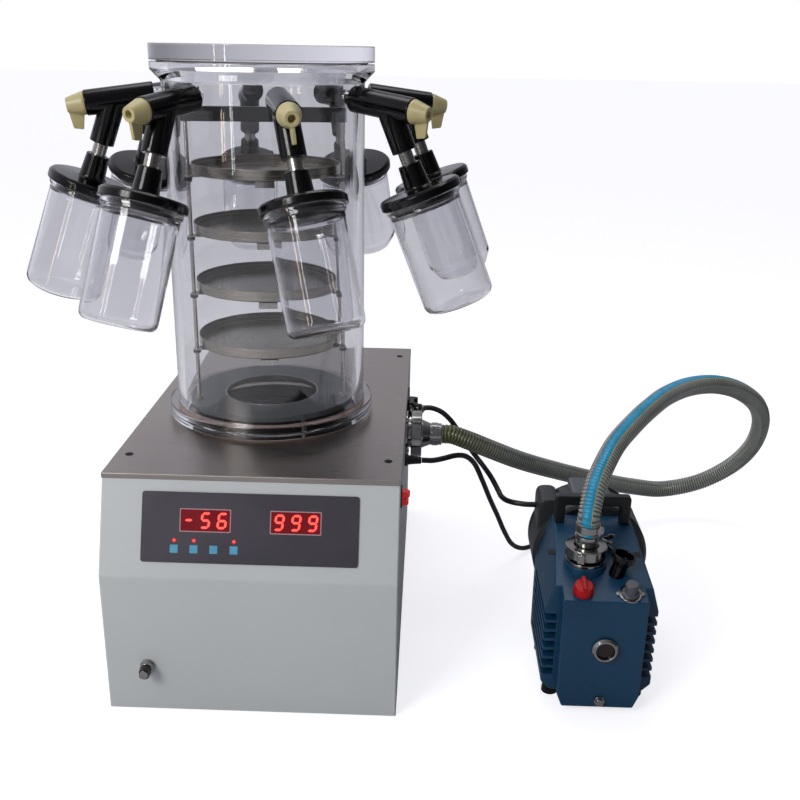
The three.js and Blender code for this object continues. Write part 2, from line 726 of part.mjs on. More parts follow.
// suction hose: away behind the pump, up and over, and down into the pump's inlet
const CONE_UP = 38;
const hoseRoute = [
  [halfW + CONE_END + GAP, PORT_Y, portZ], [halfW + CONE_END + 14, PORT_Y, portZ],
  [276, 13, 259], [318, 30, 236], [362, 61, 208], [437, 132, 160], [518, 206, 113], [589, 266, 77],
  [651, 297, 60], [718, 302, 75], [765, 287, 114], [786, 259, 163], [784, 225, 218], [760, 187, 265],
  [713, 144, 304], [661, 102, 327], [609, 57, 337], [564, 8, 338], [526, -46, 334], [494, -95, 327],
  [468, -135, 317], [449, -170, 303], [434, -199, 284], [427, -216, 262],
  [INLET_X, INLET_Y, INLET_Z + CONE_UP + 8], [INLET_X, INLET_Y, INLET_Z + CONE_UP + GAP],
];
add("suction_hose", swept(hoseRoute, HOSE_R, 10, 28), look.hose);

// ---------- pump ----------
const SMALL_FLANGE = 20;
const SMALL_TUBE = 14;
const SMALL_BORE = 10;
const caseBottom = FOOT_H / 2;
const topSlope = (CASE_TOP - CASE_FRONT_TOP) / (TOP_FLAT - PUMP_FRONT);
const topOut = [0, -topSlope, 1];
const onTop = (x, y) => [x, y, CASE_FRONT_TOP + topSlope * (y - PUMP_FRONT)];

// inlet boss, tube and flange on the case's sloping top
function inletStub() {
  const boss = INLET_Z - 12;
  const profile = [
    [0, boss - 30], [27, boss - 30], [27, boss], [SMALL_TUBE, boss + 2],
    [SMALL_TUBE, INLET_Z - RIM - CHAMFER], [SMALL_FLANGE, INLET_Z - RIM], [SMALL_FLANGE, INLET_Z],
    [SMALL_BORE, INLET_Z], [SMALL_BORE, INLET_Z - 6], [0, INLET_Z - 6],
  ];
  return shifted(turned(profile, FITTING_FACETS), INLET_X, INLET_Y, 0);
}

// exhaust: a stem that rises from the case and opens into a cup
function exhaust() {
  const profile = [[0, -12], [9, -12], [9, 16], [12, 20], [18, 22], [18, 29], [13, 29], [12, 22], [0, 22]];
  return aimed(turned(profile, FLASK_FACETS), onTop(471, -247), [0.12, -0.05, 1]);
}

const GROOVES = 7;
const GROOVE_PITCH = 13.5;
const FIRST_GROOVE = 42;
const SHOULDER_Z = 139;
const COVER_T = 23;
function pumpCase() {
  const w = CASE_HALF_W;
  const bodyFace = [
    [12 - w, FOOT_H], [w - 12, FOOT_H], [w, FOOT_H + 12], [w, SHOULDER_Z], [w - 20, CASE_TOP + 3],
    [20 - w, CASE_TOP + 3], [-w, SHOULDER_Z], [-w, FOOT_H + 12],
  ];
  const coverFace = [
    [26 - w, caseBottom], [w - 26, caseBottom], [w - 19, FOOT_H + 9], [w - 18, CASE_TOP],
    [18 - w, CASE_TOP], [19 - w, FOOT_H + 9],
  ];
  const side = [
    [PUMP_FRONT, caseBottom], [CASE_BACK, caseBottom], [CASE_BACK, CASE_TOP], [TOP_FLAT, CASE_TOP],
    [PUMP_FRONT, CASE_FRONT_TOP],
  ];
  const cover = PUMP_FRONT + COVER_T;
  let body = runY(bodyFace, cover, CASE_BACK).add(runY(coverFace, PUMP_FRONT, cover + 5));
  body = shifted(body, PUMP_X, 0, 0).intersect(runX(side, PUMP_X - 2 * w, PUMP_X + 2 * w));
  const groove = joined(
    box(w - 7, w + 9, cover + 6, CASE_BACK - 20, 0, 8),
    box(-w - 9, 7 - w, cover + 6, CASE_BACK - 20, 0, 8),
  );
  for (let row = 0; row < GROOVES; row += 1) {
    body = body.subtract(shifted(groove, PUMP_X, 0, FIRST_GROOVE + row * GROOVE_PITCH));
  }
  for (const x of [16 - w, w - 16]) {
    for (const y of [cover + 24, CASE_BACK - 20]) {
      body = body.add(shifted(disc(11, 0, FOOT_H + 4, ROD_FACETS), PUMP_X + x, y, 0));
    }
  }
  return joined(body, inletStub(), exhaust());
}
add("pump_case", pumpCase(), look.blue);

const pumpClampFrame = new THREE.Matrix4()
  .makeTranslation(INLET_X, INLET_Y, INLET_Z + GAP / 2)
  .multiply(new THREE.Matrix4().makeRotationZ(-20 * deg));
add("pump_clamp", placed(clampRing(SMALL_FLANGE, SMALL_TUBE, PUMP_CLAMP_R, 14), pumpClampFrame), look.chrome);
add("pump_wing_nut", placed(wingNut(PUMP_CLAMP_R), pumpClampFrame), look.chrome);
function pumpAdapter() {
  const profile = [
    [SMALL_BORE, GAP], [SMALL_FLANGE, GAP], [SMALL_FLANGE, GAP + RIM], [SMALL_TUBE, GAP + RIM + CHAMFER],
    [SMALL_TUBE, 14], [HOSE_TAIL, 18], [HOSE_TAIL, CONE_UP], [SMALL_BORE, CONE_UP],
  ];
  return shifted(turned(profile, FITTING_FACETS), INLET_X, INLET_Y, INLET_Z);
}
add("pump_adapter", pumpAdapter(), look.chrome);

// motor with its fan cowl, saddle, feet and the rounded capacitor housing
const motorX = PUMP_X + MOTOR_SIDE;
const motorZ = FOOT_H + 48 + MOTOR_R;
const motorFront = CASE_BACK + GAP;
const CAPACITOR_IN = 13;
const CAPACITOR_W = 30;
const capacitorSide = motorX - MOTOR_R + CAPACITOR_IN - CAPACITOR_W / 2;
function pumpMotor() {
  const length = MOTOR_BACK - motorFront;
  const joint = 0.7 * length;
  const profile = [
    [0, 0], [MOTOR_R - 4, 0], [MOTOR_R, 5], [MOTOR_R, joint], [MOTOR_R - 4, joint + 4],
    [MOTOR_R - 4, joint + 9], [MOTOR_R, joint + 12], [MOTOR_R, length - 10], [MOTOR_R - 12, length],
    [0, length],
  ];
  const barrel = aimed(turned(profile, MOTOR_FACETS), [motorX, motorFront, motorZ], [0, 1, 0]);
  const housing = runY(roundedRectangle(CAPACITOR_W, 64, 12, 3), motorFront + 16, motorFront + 70);
  const capacitor = shifted(housing, capacitorSide + CAPACITOR_W / 2, 0, motorZ + 50);
  const saddle = box(motorX - 48, motorX + 48, motorFront + 50, MOTOR_BACK - 40, 10, motorZ - 50);
  const feet = [-38, 38].map((x) => shifted(disc(10, 0, 14, ROD_FACETS), motorX + x, MOTOR_BACK - 60, 0));
  return joined(barrel, capacitor, saddle, ...feet);
}
add("pump_motor", pumpMotor(), look.motor);

// carrying handle on the flat of the case
const HANDLE_X = -2;
const HANDLE_Y = -143;
const HANDLE_HALF = 51;
const HANDLE_H = 41;
const BAR = 14;
function pumpHandle() {
  const outline = [
    [-HANDLE_HALF, GAP], [BAR - HANDLE_HALF, GAP], [BAR - HANDLE_HALF, HANDLE_H - BAR],
    [HANDLE_HALF - BAR, HANDLE_H - BAR], [HANDLE_HALF - BAR, GAP], [HANDLE_HALF, GAP],
    [HANDLE_HALF, HANDLE_H - 3], [HANDLE_HALF - 3, HANDLE_H], [3 - HANDLE_HALF, HANDLE_H],
    [-HANDLE_HALF, HANDLE_H - 3],
  ];
  return shifted(runY(outline, -BAR / 2, BAR / 2), PUMP_X + HANDLE_X, HANDLE_Y, CASE_TOP);
}
add("pump_handle", pumpHandle(), look.black);

function ballastKnob() {
  const base = turned([[0, GAP], [13, GAP], [13, 6], [11.5, 13], [0, 13]], FLASK_FACETS);
  return aimed(base.add(box(-2.5, 2.5, -11, 11, 11, 18)), onTop(417, -270), topOut);
}
add("ballast_knob", ballastKnob(), look.red);

function fillerCap() {
  const profile = [[0, GAP], [11, GAP], [11, 5], [8.5, 6], [8.5, 18], [7, 20], [0, 20]];
  return aimed(turned(profile, SMALL_FACETS), onTop(476, -272), topOut);
}
add("filler_cap", fillerCap(), look.grey);

function sightGlass() {
  const profile = [[0, GAP], [17, GAP], [17, 4], [14.5, 7], [12, 7], [12, 4], [0, 4]];
  return aimed(turned(profile, FLASK_FACETS), [PUMP_X + 3, PUMP_FRONT, 97], [0, -1, 0]);
}
add("sight_glass", sightGlass(), look.chrome);

// ---------- cords ----------
const [, glandY, glandZ] = onWall(MAINS_GLAND);
const COIL_LOW = 0.4;
const coilOut = COIL_R + 3 * CORD_R;
const mainsRoute = [
  [halfW + GLAND_L + GAP, glandY, glandZ], [halfW + GLAND_L + 8, glandY, glandZ],
  [halfW + GLAND_L + 16, glandY, glandZ], [241, -36, 248], [258, -24, 248], [274, -8, 241],
  [288, 8, 224], [303, 30, 187], [319, 55, 142], [333, 75, 106], [348, 96, 66], [364, 118, 32],
  [384, 142, 12], [410, 170, 4.6], [440, 194, 4.3], [474, 208, 4.3], [505, 212.6, 4.4],
  [COIL_X, COIL_Y - coilOut - CORD_R - GAP, 4.4],
];
add("mains_cord", swept(mainsRoute, CORD_R, ROD_FACETS, 24), look.cord);

function mainsCoil() {
  const profile = [
    [COIL_R - 3 * CORD_R, COIL_LOW], [coilOut, COIL_LOW], [coilOut, 7], [COIL_R + 2 * CORD_R, 15.4],
    [COIL_R - 2 * CORD_R, 15.4], [COIL_R - 3 * CORD_R, 7],
  ];
  return shifted(turned(profile, TRAY_FACETS), COIL_X, COIL_Y, 0);
}
add("mains_coil", mainsCoil(), look.cord);

const PLUG_W = 38;
const PLUG_T = 19;
function mainsPlug() {
  const grip = shifted(runY(roundedRectangle(PLUG_W, PLUG_T, 4, 2), 0, 18), 0, 0, PLUG_T / 2 + COIL_LOW);
  const pins = [-8, 8].map((x) => box(x - 1, x + 1, 17, 34, 7, 12));
  return shifted(joined(grip, ...pins), COIL_X - 22, COIL_Y + coilOut + GAP, 0);
}
add("mains_plug", mainsPlug(), look.cord);

const [, socketY, socketZ] = onWall(PUMP_SOCKET);
const pumpCordRoute = [
  [halfW + PLUG_OUT + GAP, socketY, socketZ], [halfW + PLUG_OUT + 7, socketY, socketZ],
  [halfW + PLUG_OUT + 14, socketY, socketZ], [237, 73, 281], [251, 70, 270], [264, 66, 254],
  [277, 60, 236], [292, 52, 218], [305, 40, 205], [315, 25, 196], [322, 5, 190], [326, -15, 188],
  [329, -35, 189], [336, -52, 191], [347, -63, 193],
  [capacitorSide - 14, -67, 193], [capacitorSide - 7, -67, 193], [capacitorSide - GAP, -67, 193],
];
add("pump_cord", swept(pumpCordRoute, CORD_R, ROD_FACETS, 16), look.cord);

export default group;
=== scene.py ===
# Bench-top freeze dryer with its vacuum pump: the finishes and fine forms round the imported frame.
# Mesh code works in millimetres, +Z up, in the model's own frame, and piece() turns it to metres.
import json
import math

import bmesh
import bpy
import numpy as np
from mathutils import Matrix, Vector


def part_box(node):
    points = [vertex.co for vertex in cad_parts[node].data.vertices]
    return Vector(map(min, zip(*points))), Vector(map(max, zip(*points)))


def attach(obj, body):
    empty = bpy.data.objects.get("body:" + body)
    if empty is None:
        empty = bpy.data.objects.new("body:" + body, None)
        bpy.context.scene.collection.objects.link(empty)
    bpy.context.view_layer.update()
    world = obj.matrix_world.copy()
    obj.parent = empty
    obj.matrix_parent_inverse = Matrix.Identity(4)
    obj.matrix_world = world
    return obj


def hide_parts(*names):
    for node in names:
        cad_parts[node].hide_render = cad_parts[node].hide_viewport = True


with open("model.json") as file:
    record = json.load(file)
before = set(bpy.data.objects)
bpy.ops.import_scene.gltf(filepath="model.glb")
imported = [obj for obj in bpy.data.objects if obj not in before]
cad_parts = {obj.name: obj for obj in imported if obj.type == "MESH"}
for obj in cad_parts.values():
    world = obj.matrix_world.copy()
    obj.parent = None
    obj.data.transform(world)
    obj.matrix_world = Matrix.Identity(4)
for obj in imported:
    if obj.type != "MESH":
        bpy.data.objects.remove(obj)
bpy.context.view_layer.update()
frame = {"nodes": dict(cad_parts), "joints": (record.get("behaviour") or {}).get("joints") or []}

MM = 0.001
GAP = 0.3


# ---------- sizes read from the frame ----------
def span(node):
    """Lowest and highest corner of a CAD node, in millimetres."""
    low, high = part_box(node)
    return low / MM, high / MM


def joint(name):
    """A joint's point, in millimetres, and its axis."""
    found = next(j for j in frame["joints"] if j["name"] == name)
    return Vector(found["pos_m"]) / MM, Vector(found["axis"])


SHEET = 2
plate_low, plate_high = span("top_plate")
lid_low, lid_high = span("lid")
PLATE_TOP = plate_high.z
HALF_W = plate_high.x - 0.5
BACK = plate_high.y - 0.5
FRONT = span("base_pan")[0].y - SHEET - GAP
SHELL_TOP = plate_low.z - GAP
SHELL_FRONT = plate_low.y + 0.5
CREASE = PLATE_TOP - 121
AXIS = Vector(((lid_low.x + lid_high.x) / 2, (lid_low.y + lid_high.y) / 2, 0))
LID_R = (lid_high.x - lid_low.x) / 2
TUBE_R = LID_R - 13
TUBE_IN = TUBE_R - 10
CHAMBER_LOW = span("chamber_body")[0].z
CHAMBER_TOP = span("chamber_body")[1].z

# ---------- camera ----------
CAMERA_AT = (0.2106, -1.3754, 0.8113)
CAMERA_YAW = 0.0256
CAMERA_PITCH = -0.3405
CAMERA_ROLL = 0.0179
CAMERA_LENS = 44.74


def make_camera():
    data = bpy.data.cameras.new("camera")
    data.lens = CAMERA_LENS
    data.sensor_width = 36
    data.clip_start = 0.05
    data.clip_end = 100
    camera = bpy.data.objects.new("camera", data)
    bpy.context.scene.collection.objects.link(camera)
    turn = Matrix.Rotation(CAMERA_YAW, 4, "Z") @ Matrix.Rotation(math.pi / 2 + CAMERA_PITCH, 4, "X")
    camera.matrix_world = Matrix.Translation(CAMERA_AT) @ turn @ Matrix.Rotation(CAMERA_ROLL, 4, "Z")
    bpy.context.scene.camera = camera


make_camera()


# ---------- materials ----------
def tint(code):
    """An sRGB colour such as 0xC3C8CA as linear RGBA."""
    parts = [((code >> shift) & 255) / 255 for shift in (16, 8, 0)]
    return (*[p / 12.92 if p < 0.04045 else ((p + 0.055) / 1.055) ** 2.4 for p in parts], 1)


def scaled(color, factor):
    return (*[min(1, c * factor) for c in color[:3]], 1)


def node(mat, kind, inputs=None, **settings):
    """Adds a shader node, sets its options, and links or sets its inputs."""
    made = mat.node_tree.nodes.new("ShaderNode" + kind)
    for key, value in settings.items():
        setattr(made, key, value)
    for key, value in (inputs or {}).items():
        if isinstance(value, bpy.types.NodeSocket):
            mat.node_tree.links.new(value, made.inputs[key])
        else:
            made.inputs[key].default_value = value
    return made


def new_material(name):
    mat = bpy.data.materials.new(name)
    mat.use_nodes = True
    shader = mat.node_tree.nodes["Principled BSDF"]
    return mat, shader, node(mat, "TexCoord").outputs["Object"]


def ramp(mat, value, low, high, from_low=0.3, from_high=0.7):
    """A number from noise, mapped to a range."""
    made = node(mat, "MapRange", {"Value": value, "From Min": from_low, "From Max": from_high,
                                  "To Min": low, "To Max": high})
    return made.outputs["Result"]


def blended(mat, value, first, second, start=0.3, end=0.7):
    """A colour that goes from first to second as the value rises."""
    made = node(mat, "ValToRGB", {"Fac": value})
    steps = made.color_ramp.elements
    steps[0].position, steps[0].color = start, first
    steps[1].position, steps[1].color = end, second
    return made.outputs["Color"]


def noise(mat, vector, scale, detail=3.0, rough=0.55):
    made = node(mat, "TexNoise", {"Vector": vector, "Scale": scale, "Detail": detail, "Roughness": rough})
    return made.outputs["Fac"]


def relief(mat, shader, height, depth, strength=0.6):
    bump = node(mat, "Bump", {"Height": height, "Strength": strength, "Distance": depth})
    mat.node_tree.links.new(bump.outputs["Normal"], shader.inputs["Normal"])


def fixed(shader, **values):
    """Sets sockets that are the same all over the surface."""
    for key, value in values.items():
        shader.inputs[key.replace("_", " ")].default_value = value


def finish(name, code, rough, metal=0.0, tone=0.07, patch=9, grain=700, depth=0.00004, spread=0.07,
           stretch=(1, 1, 1), **values):
    """A surface whose colour drifts slowly, whose gloss varies and that has a fine grain."""
    mat, shader, coords = new_material(name)
    slow = noise(mat, coords, patch, 4)
    along = node(mat, "Mapping", {"Vector": coords, "Scale": stretch}).outputs["Vector"]
    fine = noise(mat, along, grain, 2)
    color = blended(mat, slow, scaled(tint(code), 1 - tone), scaled(tint(code), 1 + tone))
    mixed = node(mat, "Math", {0: slow, 1: fine}, operation="ADD").outputs[0]
    gloss = ramp(mat, mixed, rough - spread, rough + spread, 0.7, 1.3)
    mat.node_tree.links.new(color, shader.inputs["Base Color"])
    mat.node_tree.links.new(gloss, shader.inputs["Roughness"])
    relief(mat, shader, fine, depth)
    fixed(shader, Metallic=metal, **values)
    return mat


def turned_metal(name, code, rough, tone=0.12, grain=900):
    """Steel with fine rings left by turning or polishing about the piece's own +Z."""
    mat, shader, coords = new_material(name)
    apart = node(mat, "SeparateXYZ", {"Vector": coords})
    flat = node(mat, "CombineXYZ", {"X": apart.outputs["X"], "Y": apart.outputs["Y"]}).outputs["Vector"]
    reach = node(mat, "VectorMath", {0: flat}, operation="LENGTH").outputs["Value"]
    rings = node(mat, "CombineXYZ", {"X": reach, "Z": apart.outputs["Z"]}).outputs["Vector"]
    fine = noise(mat, rings, grain, 3)
    slow = noise(mat, coords, 14, 4)
    color = blended(mat, slow, scaled(tint(code), 1 - tone), scaled(tint(code), 1 + tone))
    mat.node_tree.links.new(color, shader.inputs["Base Color"])
    mat.node_tree.links.new(ramp(mat, fine, rough - 0.08, rough + 0.1), shader.inputs["Roughness"])
    relief(mat, shader, fine, 0.00004, 0.5)
    fixed(shader, Metallic=1.0)
    return mat


def clear(name, code, ior, rough=0.01, shade=0.86):
    """Clear plastic or glass that lets the lamps' light through."""
    mat, shader, coords = new_material(name)
    smear = noise(mat, coords, 18, 4)
    mat.node_tree.links.new(ramp(mat, smear, rough, rough + 0.03, 0.45, 0.75), shader.inputs["Roughness"])
    mat.node_tree.links.new(
        blended(mat, smear, scaled(tint(code), 0.985), tint(code)), shader.inputs["Base Color"])
    relief(mat, shader, noise(mat, coords, 26, 2), 0.00012, 0.25)
    fixed(shader, IOR=ior, Transmission_Weight=1.0)
    passing = node(mat, "BsdfTransparent", {"Color": (shade, shade, shade * 1.01, 1)}).outputs["BSDF"]
    shadow = node(mat, "LightPath").outputs["Is Shadow Ray"]
    mixed = node(mat, "MixShader", {0: shadow, 1: shader.outputs["BSDF"], 2: passing}).outputs["Shader"]
    mat.node_tree.links.new(mixed, mat.node_tree.nodes["Material Output"].inputs["Surface"])
    return mat


def lit(name, code, strength):
    """A lamp behind coloured plastic; also the painted glow round the lit figures and lamps."""
    mat, shader, coords = new_material(name)
    glow = ramp(mat, noise(mat, coords, 900), strength * 0.85, strength * 1.15)
    mat.node_tree.links.new(glow, shader.inputs["Emission Strength"])
    fixed(shader, Base_Color=scaled(tint(code), 0.3), Roughness=0.3, Emission_Color=tint(code))
    return mat


def hose_plastic(name, dark, light):
    """Grey-green vinyl, stained brown where it is warm at the unit's port."""
    mat, shader, coords = new_material(name)
    across = node(mat, "SeparateXYZ", {"Vector": coords}).outputs["X"]
    slow = noise(mat, coords, 16, 4)
    base = blended(mat, slow, tint(dark), tint(light))
    warm = ramp(mat, across, 1, 0, HALF_W * MM + 0.07, HALF_W * MM + 0.17)
    stained = scaled(tint(dark), 0.6)[:2] + (tint(dark)[2] * 0.25, 1)
    mixed = node(mat, "Mix", {0: warm, 6: base, 7: stained}, data_type="RGBA").outputs[2]
    mat.node_tree.links.new(mixed, shader.inputs["Base Color"])
    mat.node_tree.links.new(ramp(mat, slow, 0.28, 0.42), shader.inputs["Roughness"])
    relief(mat, shader, noise(mat, coords, 500, 2), 0.00005)
    fixed(shader, Coat_Weight=0.2)
    return mat


look = {
    "paint": finish("powder_paint", 0xC9CECE, 0.42, tone=0.03, patch=4, grain=1500, depth=0.00003),
    "pan": finish("pan_paint", 0x8C9192, 0.5, tone=0.08, grain=900),
    "plate": finish("brushed_plate", 0xA9A19C, 0.33, metal=1.0, tone=0.09, patch=5, grain=1100,
                    stretch=(0.012, 1, 1), depth=0.00003, Anisotropic=0.5),
    "steel": finish("satin_steel", 0xA29E98, 0.24, metal=1.0, tone=0.1, grain=600, depth=0.00002),
    "tray": turned_metal("spun_steel", 0x8F8A80, 0.28),
    "trap": turned_metal("trap_steel", 0x6A6866, 0.3),
    "chrome": finish("chrome", 0x9C9B98, 0.14, metal=1.0, tone=0.12, patch=30, grain=400,
                     depth=0.00001, spread=0.05),
    "film": finish("panel_film", 0x413D46, 0.36, tone=0.05, patch=14, grain=1300, depth=0.00002),
    # The window's faint red emission is painted glow.
    "window": finish("display_window_painted_glow", 0x5A0A14, 0.18, tone=0.15, patch=40, depth=0.00001,
                     Emission_Color=tint(0xE00A20), Emission_Strength=0.12),
    "frame": finish("window_frame", 0xC09AA0, 0.45, tone=0.05),
    "key": finish("membrane_key", 0x5AA6C8, 0.4, tone=0.06, patch=60, depth=0.00002),
    "red": finish("red_plastic", 0xAA060E, 0.34, tone=0.1, patch=40, grain=500, Specular_IOR_Level=0.3),
    "lit_red": finish("lit_rocker", 0xD01018, 0.25, tone=0.1, patch=60, grain=500,
                      Emission_Color=tint(0xE81420), Emission_Strength=0.25),
    "black": finish("black_plastic", 0x131415, 0.36, tone=0.15, patch=20, grain=800, depth=0.00003),
    "rubber": finish("black_rubber", 0x040405, 0.15, tone=0.3, patch=24, grain=380, depth=0.00006,
                     spread=0.06, Specular_IOR_Level=0.35),
    "orange": finish("orange_rubber", 0x96705C, 0.5, tone=0.1, patch=30),
    "brown": finish("brown_rubber", 0x3A261C, 0.45, tone=0.15, patch=30),
    "acrylic": clear("clear_acrylic", 0xF3F3F5, 1.49),
    "glass": clear("clear_glass", 0xF5F5F7, 1.47, rough=0.005, shade=0.9),
    "ivory": finish("ivory_plastic", 0xC2B684, 0.34, tone=0.07, patch=45, grain=600, depth=0.00003,
                    Subsurface_Weight=0.08, Subsurface_Scale=0.004),
    "grey": finish("grey_plastic", 0x43484C, 0.45, tone=0.08, patch=12),
    "hose": hose_plastic("hose_vinyl", 0x898C84, 0xA3A69E),
    # Darker vinyl used as painted shade in the hose's rib valleys.
    "valley_shade": hose_plastic("hose_valley_painted_shade", 0x494C47, 0x5D605A),
    "stripe": finish("hose_stripe", 0x1A90B6, 0.3, tone=0.12, patch=60, grain=500),
    "yellow": finish("hose_yellow_line", 0xC9A63C, 0.35, tone=0.1, patch=60),
    "crimson": finish("hose_red_line", 0x8E4450, 0.35, tone=0.1, patch=60),
    "blue": finish("pump_enamel", 0x0E3E5C, 0.34, tone=0.1, patch=10, grain=420, Specular_IOR_Level=0.4),
    "motor": finish("motor_grey", 0x272A2C, 0.42, tone=0.12, patch=14, grain=500, depth=0.00006),
    "dome": finish("smoked_cover", 0x4C5056, 0.3, tone=0.1, patch=20),
    "oil": finish("sight_oil", 0x1E0E09, 0.1, tone=0.3, patch=50, depth=0.00001, spread=0.03),
    "cord": finish("cord_jacket", 0x0C0D0E, 0.38, tone=0.2, patch=30, grain=600, depth=0.00004),
    "core": lit("lit_segment", 0xFF5648, 1.9),
    # Painted glow round the lit figures and the keys' lamps.
    "halo": lit("painted_glow_halo", 0xE01428, 0.8),
    # Near-black for the screw heads; painted shade in the rocker's dip and the case's sockets.
    "dark": finish("near_black_and_painted_recess_shade", 0x0A0A0C, 0.6, tone=0.3),
}


# ---------- mesh tools ----------
def linked(name, mesh):
    obj = bpy.data.objects.new(name, mesh)
    bpy.context.scene.collection.objects.link(obj)
    return obj


def temporary(bm):
    mesh = bpy.data.meshes.new("tool")
    bm.to_mesh(mesh)
    bm.free()
    return linked("tool", mesh)


def collected(obj, *tools):
    """The evaluated mesh as mesh code; the temporary objects are removed."""
    found = obj.evaluated_get(bpy.context.evaluated_depsgraph_get())
    result = bmesh.new()
    result.from_mesh(found.to_mesh())
    found.to_mesh_clear()
    for used in (obj, *tools):
        mesh = used.data
        bpy.data.objects.remove(used)
        bpy.data.meshes.remove(mesh)
    return result


def shaped(bm, *steps):
    """Runs modifiers, given as (kind, settings), on mesh code."""
    obj = temporary(bm)
    for kind, settings in steps:
        modifier = obj.modifiers.new(kind, kind)
        for key, value in settings.items():
            setattr(modifier, key, value)
    return collected(obj)


def bevels(width, segments=3, angle=30):
    settings = dict(width=width, segments=segments, limit_method="ANGLE", angle_limit=math.radians(angle))
    return ("BEVEL", settings)


def beveled(bm, width, segments=3, angle=30):
    return shaped(bm, bevels(width, segments, angle))


def cut(bm, tool, operation="DIFFERENCE"):
    first = temporary(bm)
    second = temporary(tool)
    modifier = first.modifiers.new("cut", "BOOLEAN")
    modifier.object = second
    modifier.operation = operation
    modifier.solver = "EXACT"
    return collected(first, second)


def merged(*parts):
    whole = bmesh.new()
    for part in parts:
        mesh = bpy.data.meshes.new("tool")
        part.to_mesh(mesh)
        part.free()
        whole.from_mesh(mesh)
        bpy.data.meshes.remove(mesh)
    return whole


def moved(bm, matrix):
    bm.transform(matrix)
    return bm


def shifted(bm, x, y, z):
    return moved(bm, Matrix.Translation((x, y, z)))


def axes(x, y, z, origin=(0, 0, 0)):
    """A frame from its three directions and its origin."""
    matrix = Matrix((x, y, z)).transposed().to_4x4()
    matrix.translation = origin
    return matrix


def aimed(origin, direction):
    """A frame whose +Z runs along a direction."""
    return Matrix.Translation(origin) @ Vector(direction).to_track_quat("Z", "Y").to_matrix().to_4x4()


TO_X = axes((0, 1, 0), (0, 0, 1), (1, 0, 0))
TO_Y = axes((1, 0, 0), (0, 0, 1), (0, -1, 0))
ROUND_STEPS = 4


def filleted(profile, closed):
    """Rounds each point that has a radius as its third number."""
    points = []
    count = len(profile)
    for i, point in enumerate(profile):
        at = Vector(point[:2])
        radius = point[2] if len(point) > 2 else 0
        if not radius or (not closed and i in (0, count - 1)):
            points.append(at)
            continue
        before = Vector(profile[i - 1][:2]) - at
        after = Vector(profile[(i + 1) % count][:2]) - at
        half = before.angle(after) / 2
        reach = min(radius / math.tan(half), before.length * 0.48, after.length * 0.48)
        start = at + before.normalized() * reach
        end = at + after.normalized() * reach
        for step in range(ROUND_STEPS + 1):
            t = step / ROUND_STEPS
            points.append(start * (1 - t) ** 2 + at * 2 * t * (1 - t) + end * t * t)
    return points


def lathe(profile, segments=64, matrix=None):
    """A body of revolution about +Z, from [radius, height, corner radius] points."""
    hollow = profile[0][0] > 0
    bm = bmesh.new()
    rows = []
    for r, z in filleted(profile, hollow):
        if r < 1e-6:
            rows.append([bm.verts.new((0, 0, z))])
            continue
        turn = [2 * math.pi * k / segments for k in range(segments)]
        rows.append([bm.verts.new((r * math.cos(a), r * math.sin(a), z)) for a in turn])
    for i in range(len(rows) if hollow else len(rows) - 1):
        low, high = rows[i], rows[(i + 1) % len(rows)]
        for k in range(segments):
            n = (k + 1) % segments
            corners = [low[k % len(low)], low[n % len(low)], high[n % len(high)], high[k % len(high)]]
            face = list(dict.fromkeys(corners))
            if len(face) > 2:
                bm.faces.new(face)
    bmesh.ops.recalc_face_normals(bm, faces=bm.faces)
    return moved(bm, matrix) if matrix else bm


def prism(outline, low, high, matrix=None):
    """An outline in XY raised along Z, with its rounded points worked out."""
    bm = bmesh.new()
    points = filleted(outline, True)
    floor = [bm.verts.new((x, y, low)) for x, y in points]
    roof = [bm.verts.new((x, y, high)) for x, y in points]
    bm.faces.new(list(reversed(floor)))
    bm.faces.new(roof)
    for i in range(len(points)):
        n = (i + 1) % len(points)
        bm.faces.new([floor[i], floor[n], roof[n], roof[i]])
    bmesh.ops.recalc_face_normals(bm, faces=bm.faces)
    return moved(bm, matrix) if matrix else bm


def rectangle(x0, x1, y0, y1, radius=0):
    return [(x1, y1, radius), (x0, y1, radius), (x0, y0, radius), (x1, y0, radius)]


def block(x0, x1, y0, y1, z0, z1, radius=0):
    return prism(rectangle(x0, x1, y0, y1, radius), z0, z1)


def rod(start, end, radius, segments=16, rounding=0.0):
    run = Vector(end) - Vector(start)
    profile = [(0, 0), (radius, 0, rounding), (radius, run.length, rounding), (0, run.length)]
    return lathe(profile, segments, aimed(start, run))


def smooth_path(route, spacing):
    """Evenly spaced points on the centripetal curve through the route, in the route's units."""
    points = [np.array(p, float) for p in route]
    points = [2 * points[0] - points[1], *points, 2 * points[-1] - points[-2]]
    dense = []
    for a, b, c, d in zip(points, points[1:], points[2:], points[3:]):
        before, here, after = (max(np.linalg.norm(q - p) ** 0.5, 1e-4) for p, q in ((a, b), (b, c), (c, d)))
        leave = ((b - a) / before - (c - a) / (before + here) + (c - b) / here) * here
        arrive = ((c - b) / here - (d - b) / (here + after) + (d - c) / after) * here
        for t in np.linspace(0, 1, 24, endpoint=False):
            square, cube = t * t, t * t * t
            dense.append(b * (2 * cube - 3 * square + 1) + c * (3 * square - 2 * cube)
                         + leave * (cube - 2 * square + t) + arrive * (cube - square))
    dense.append(points[-2])
    dense = np.array(dense)
    run = np.concatenate([[0], np.cumsum(np.linalg.norm(np.diff(dense, axis=0), axis=1))])
    places = np.linspace(0, run[-1], max(2, round(run[-1] / spacing) + 1))
    return np.stack([np.interp(places, run, dense[:, i]) for i in range(3)], axis=1), run[-1]


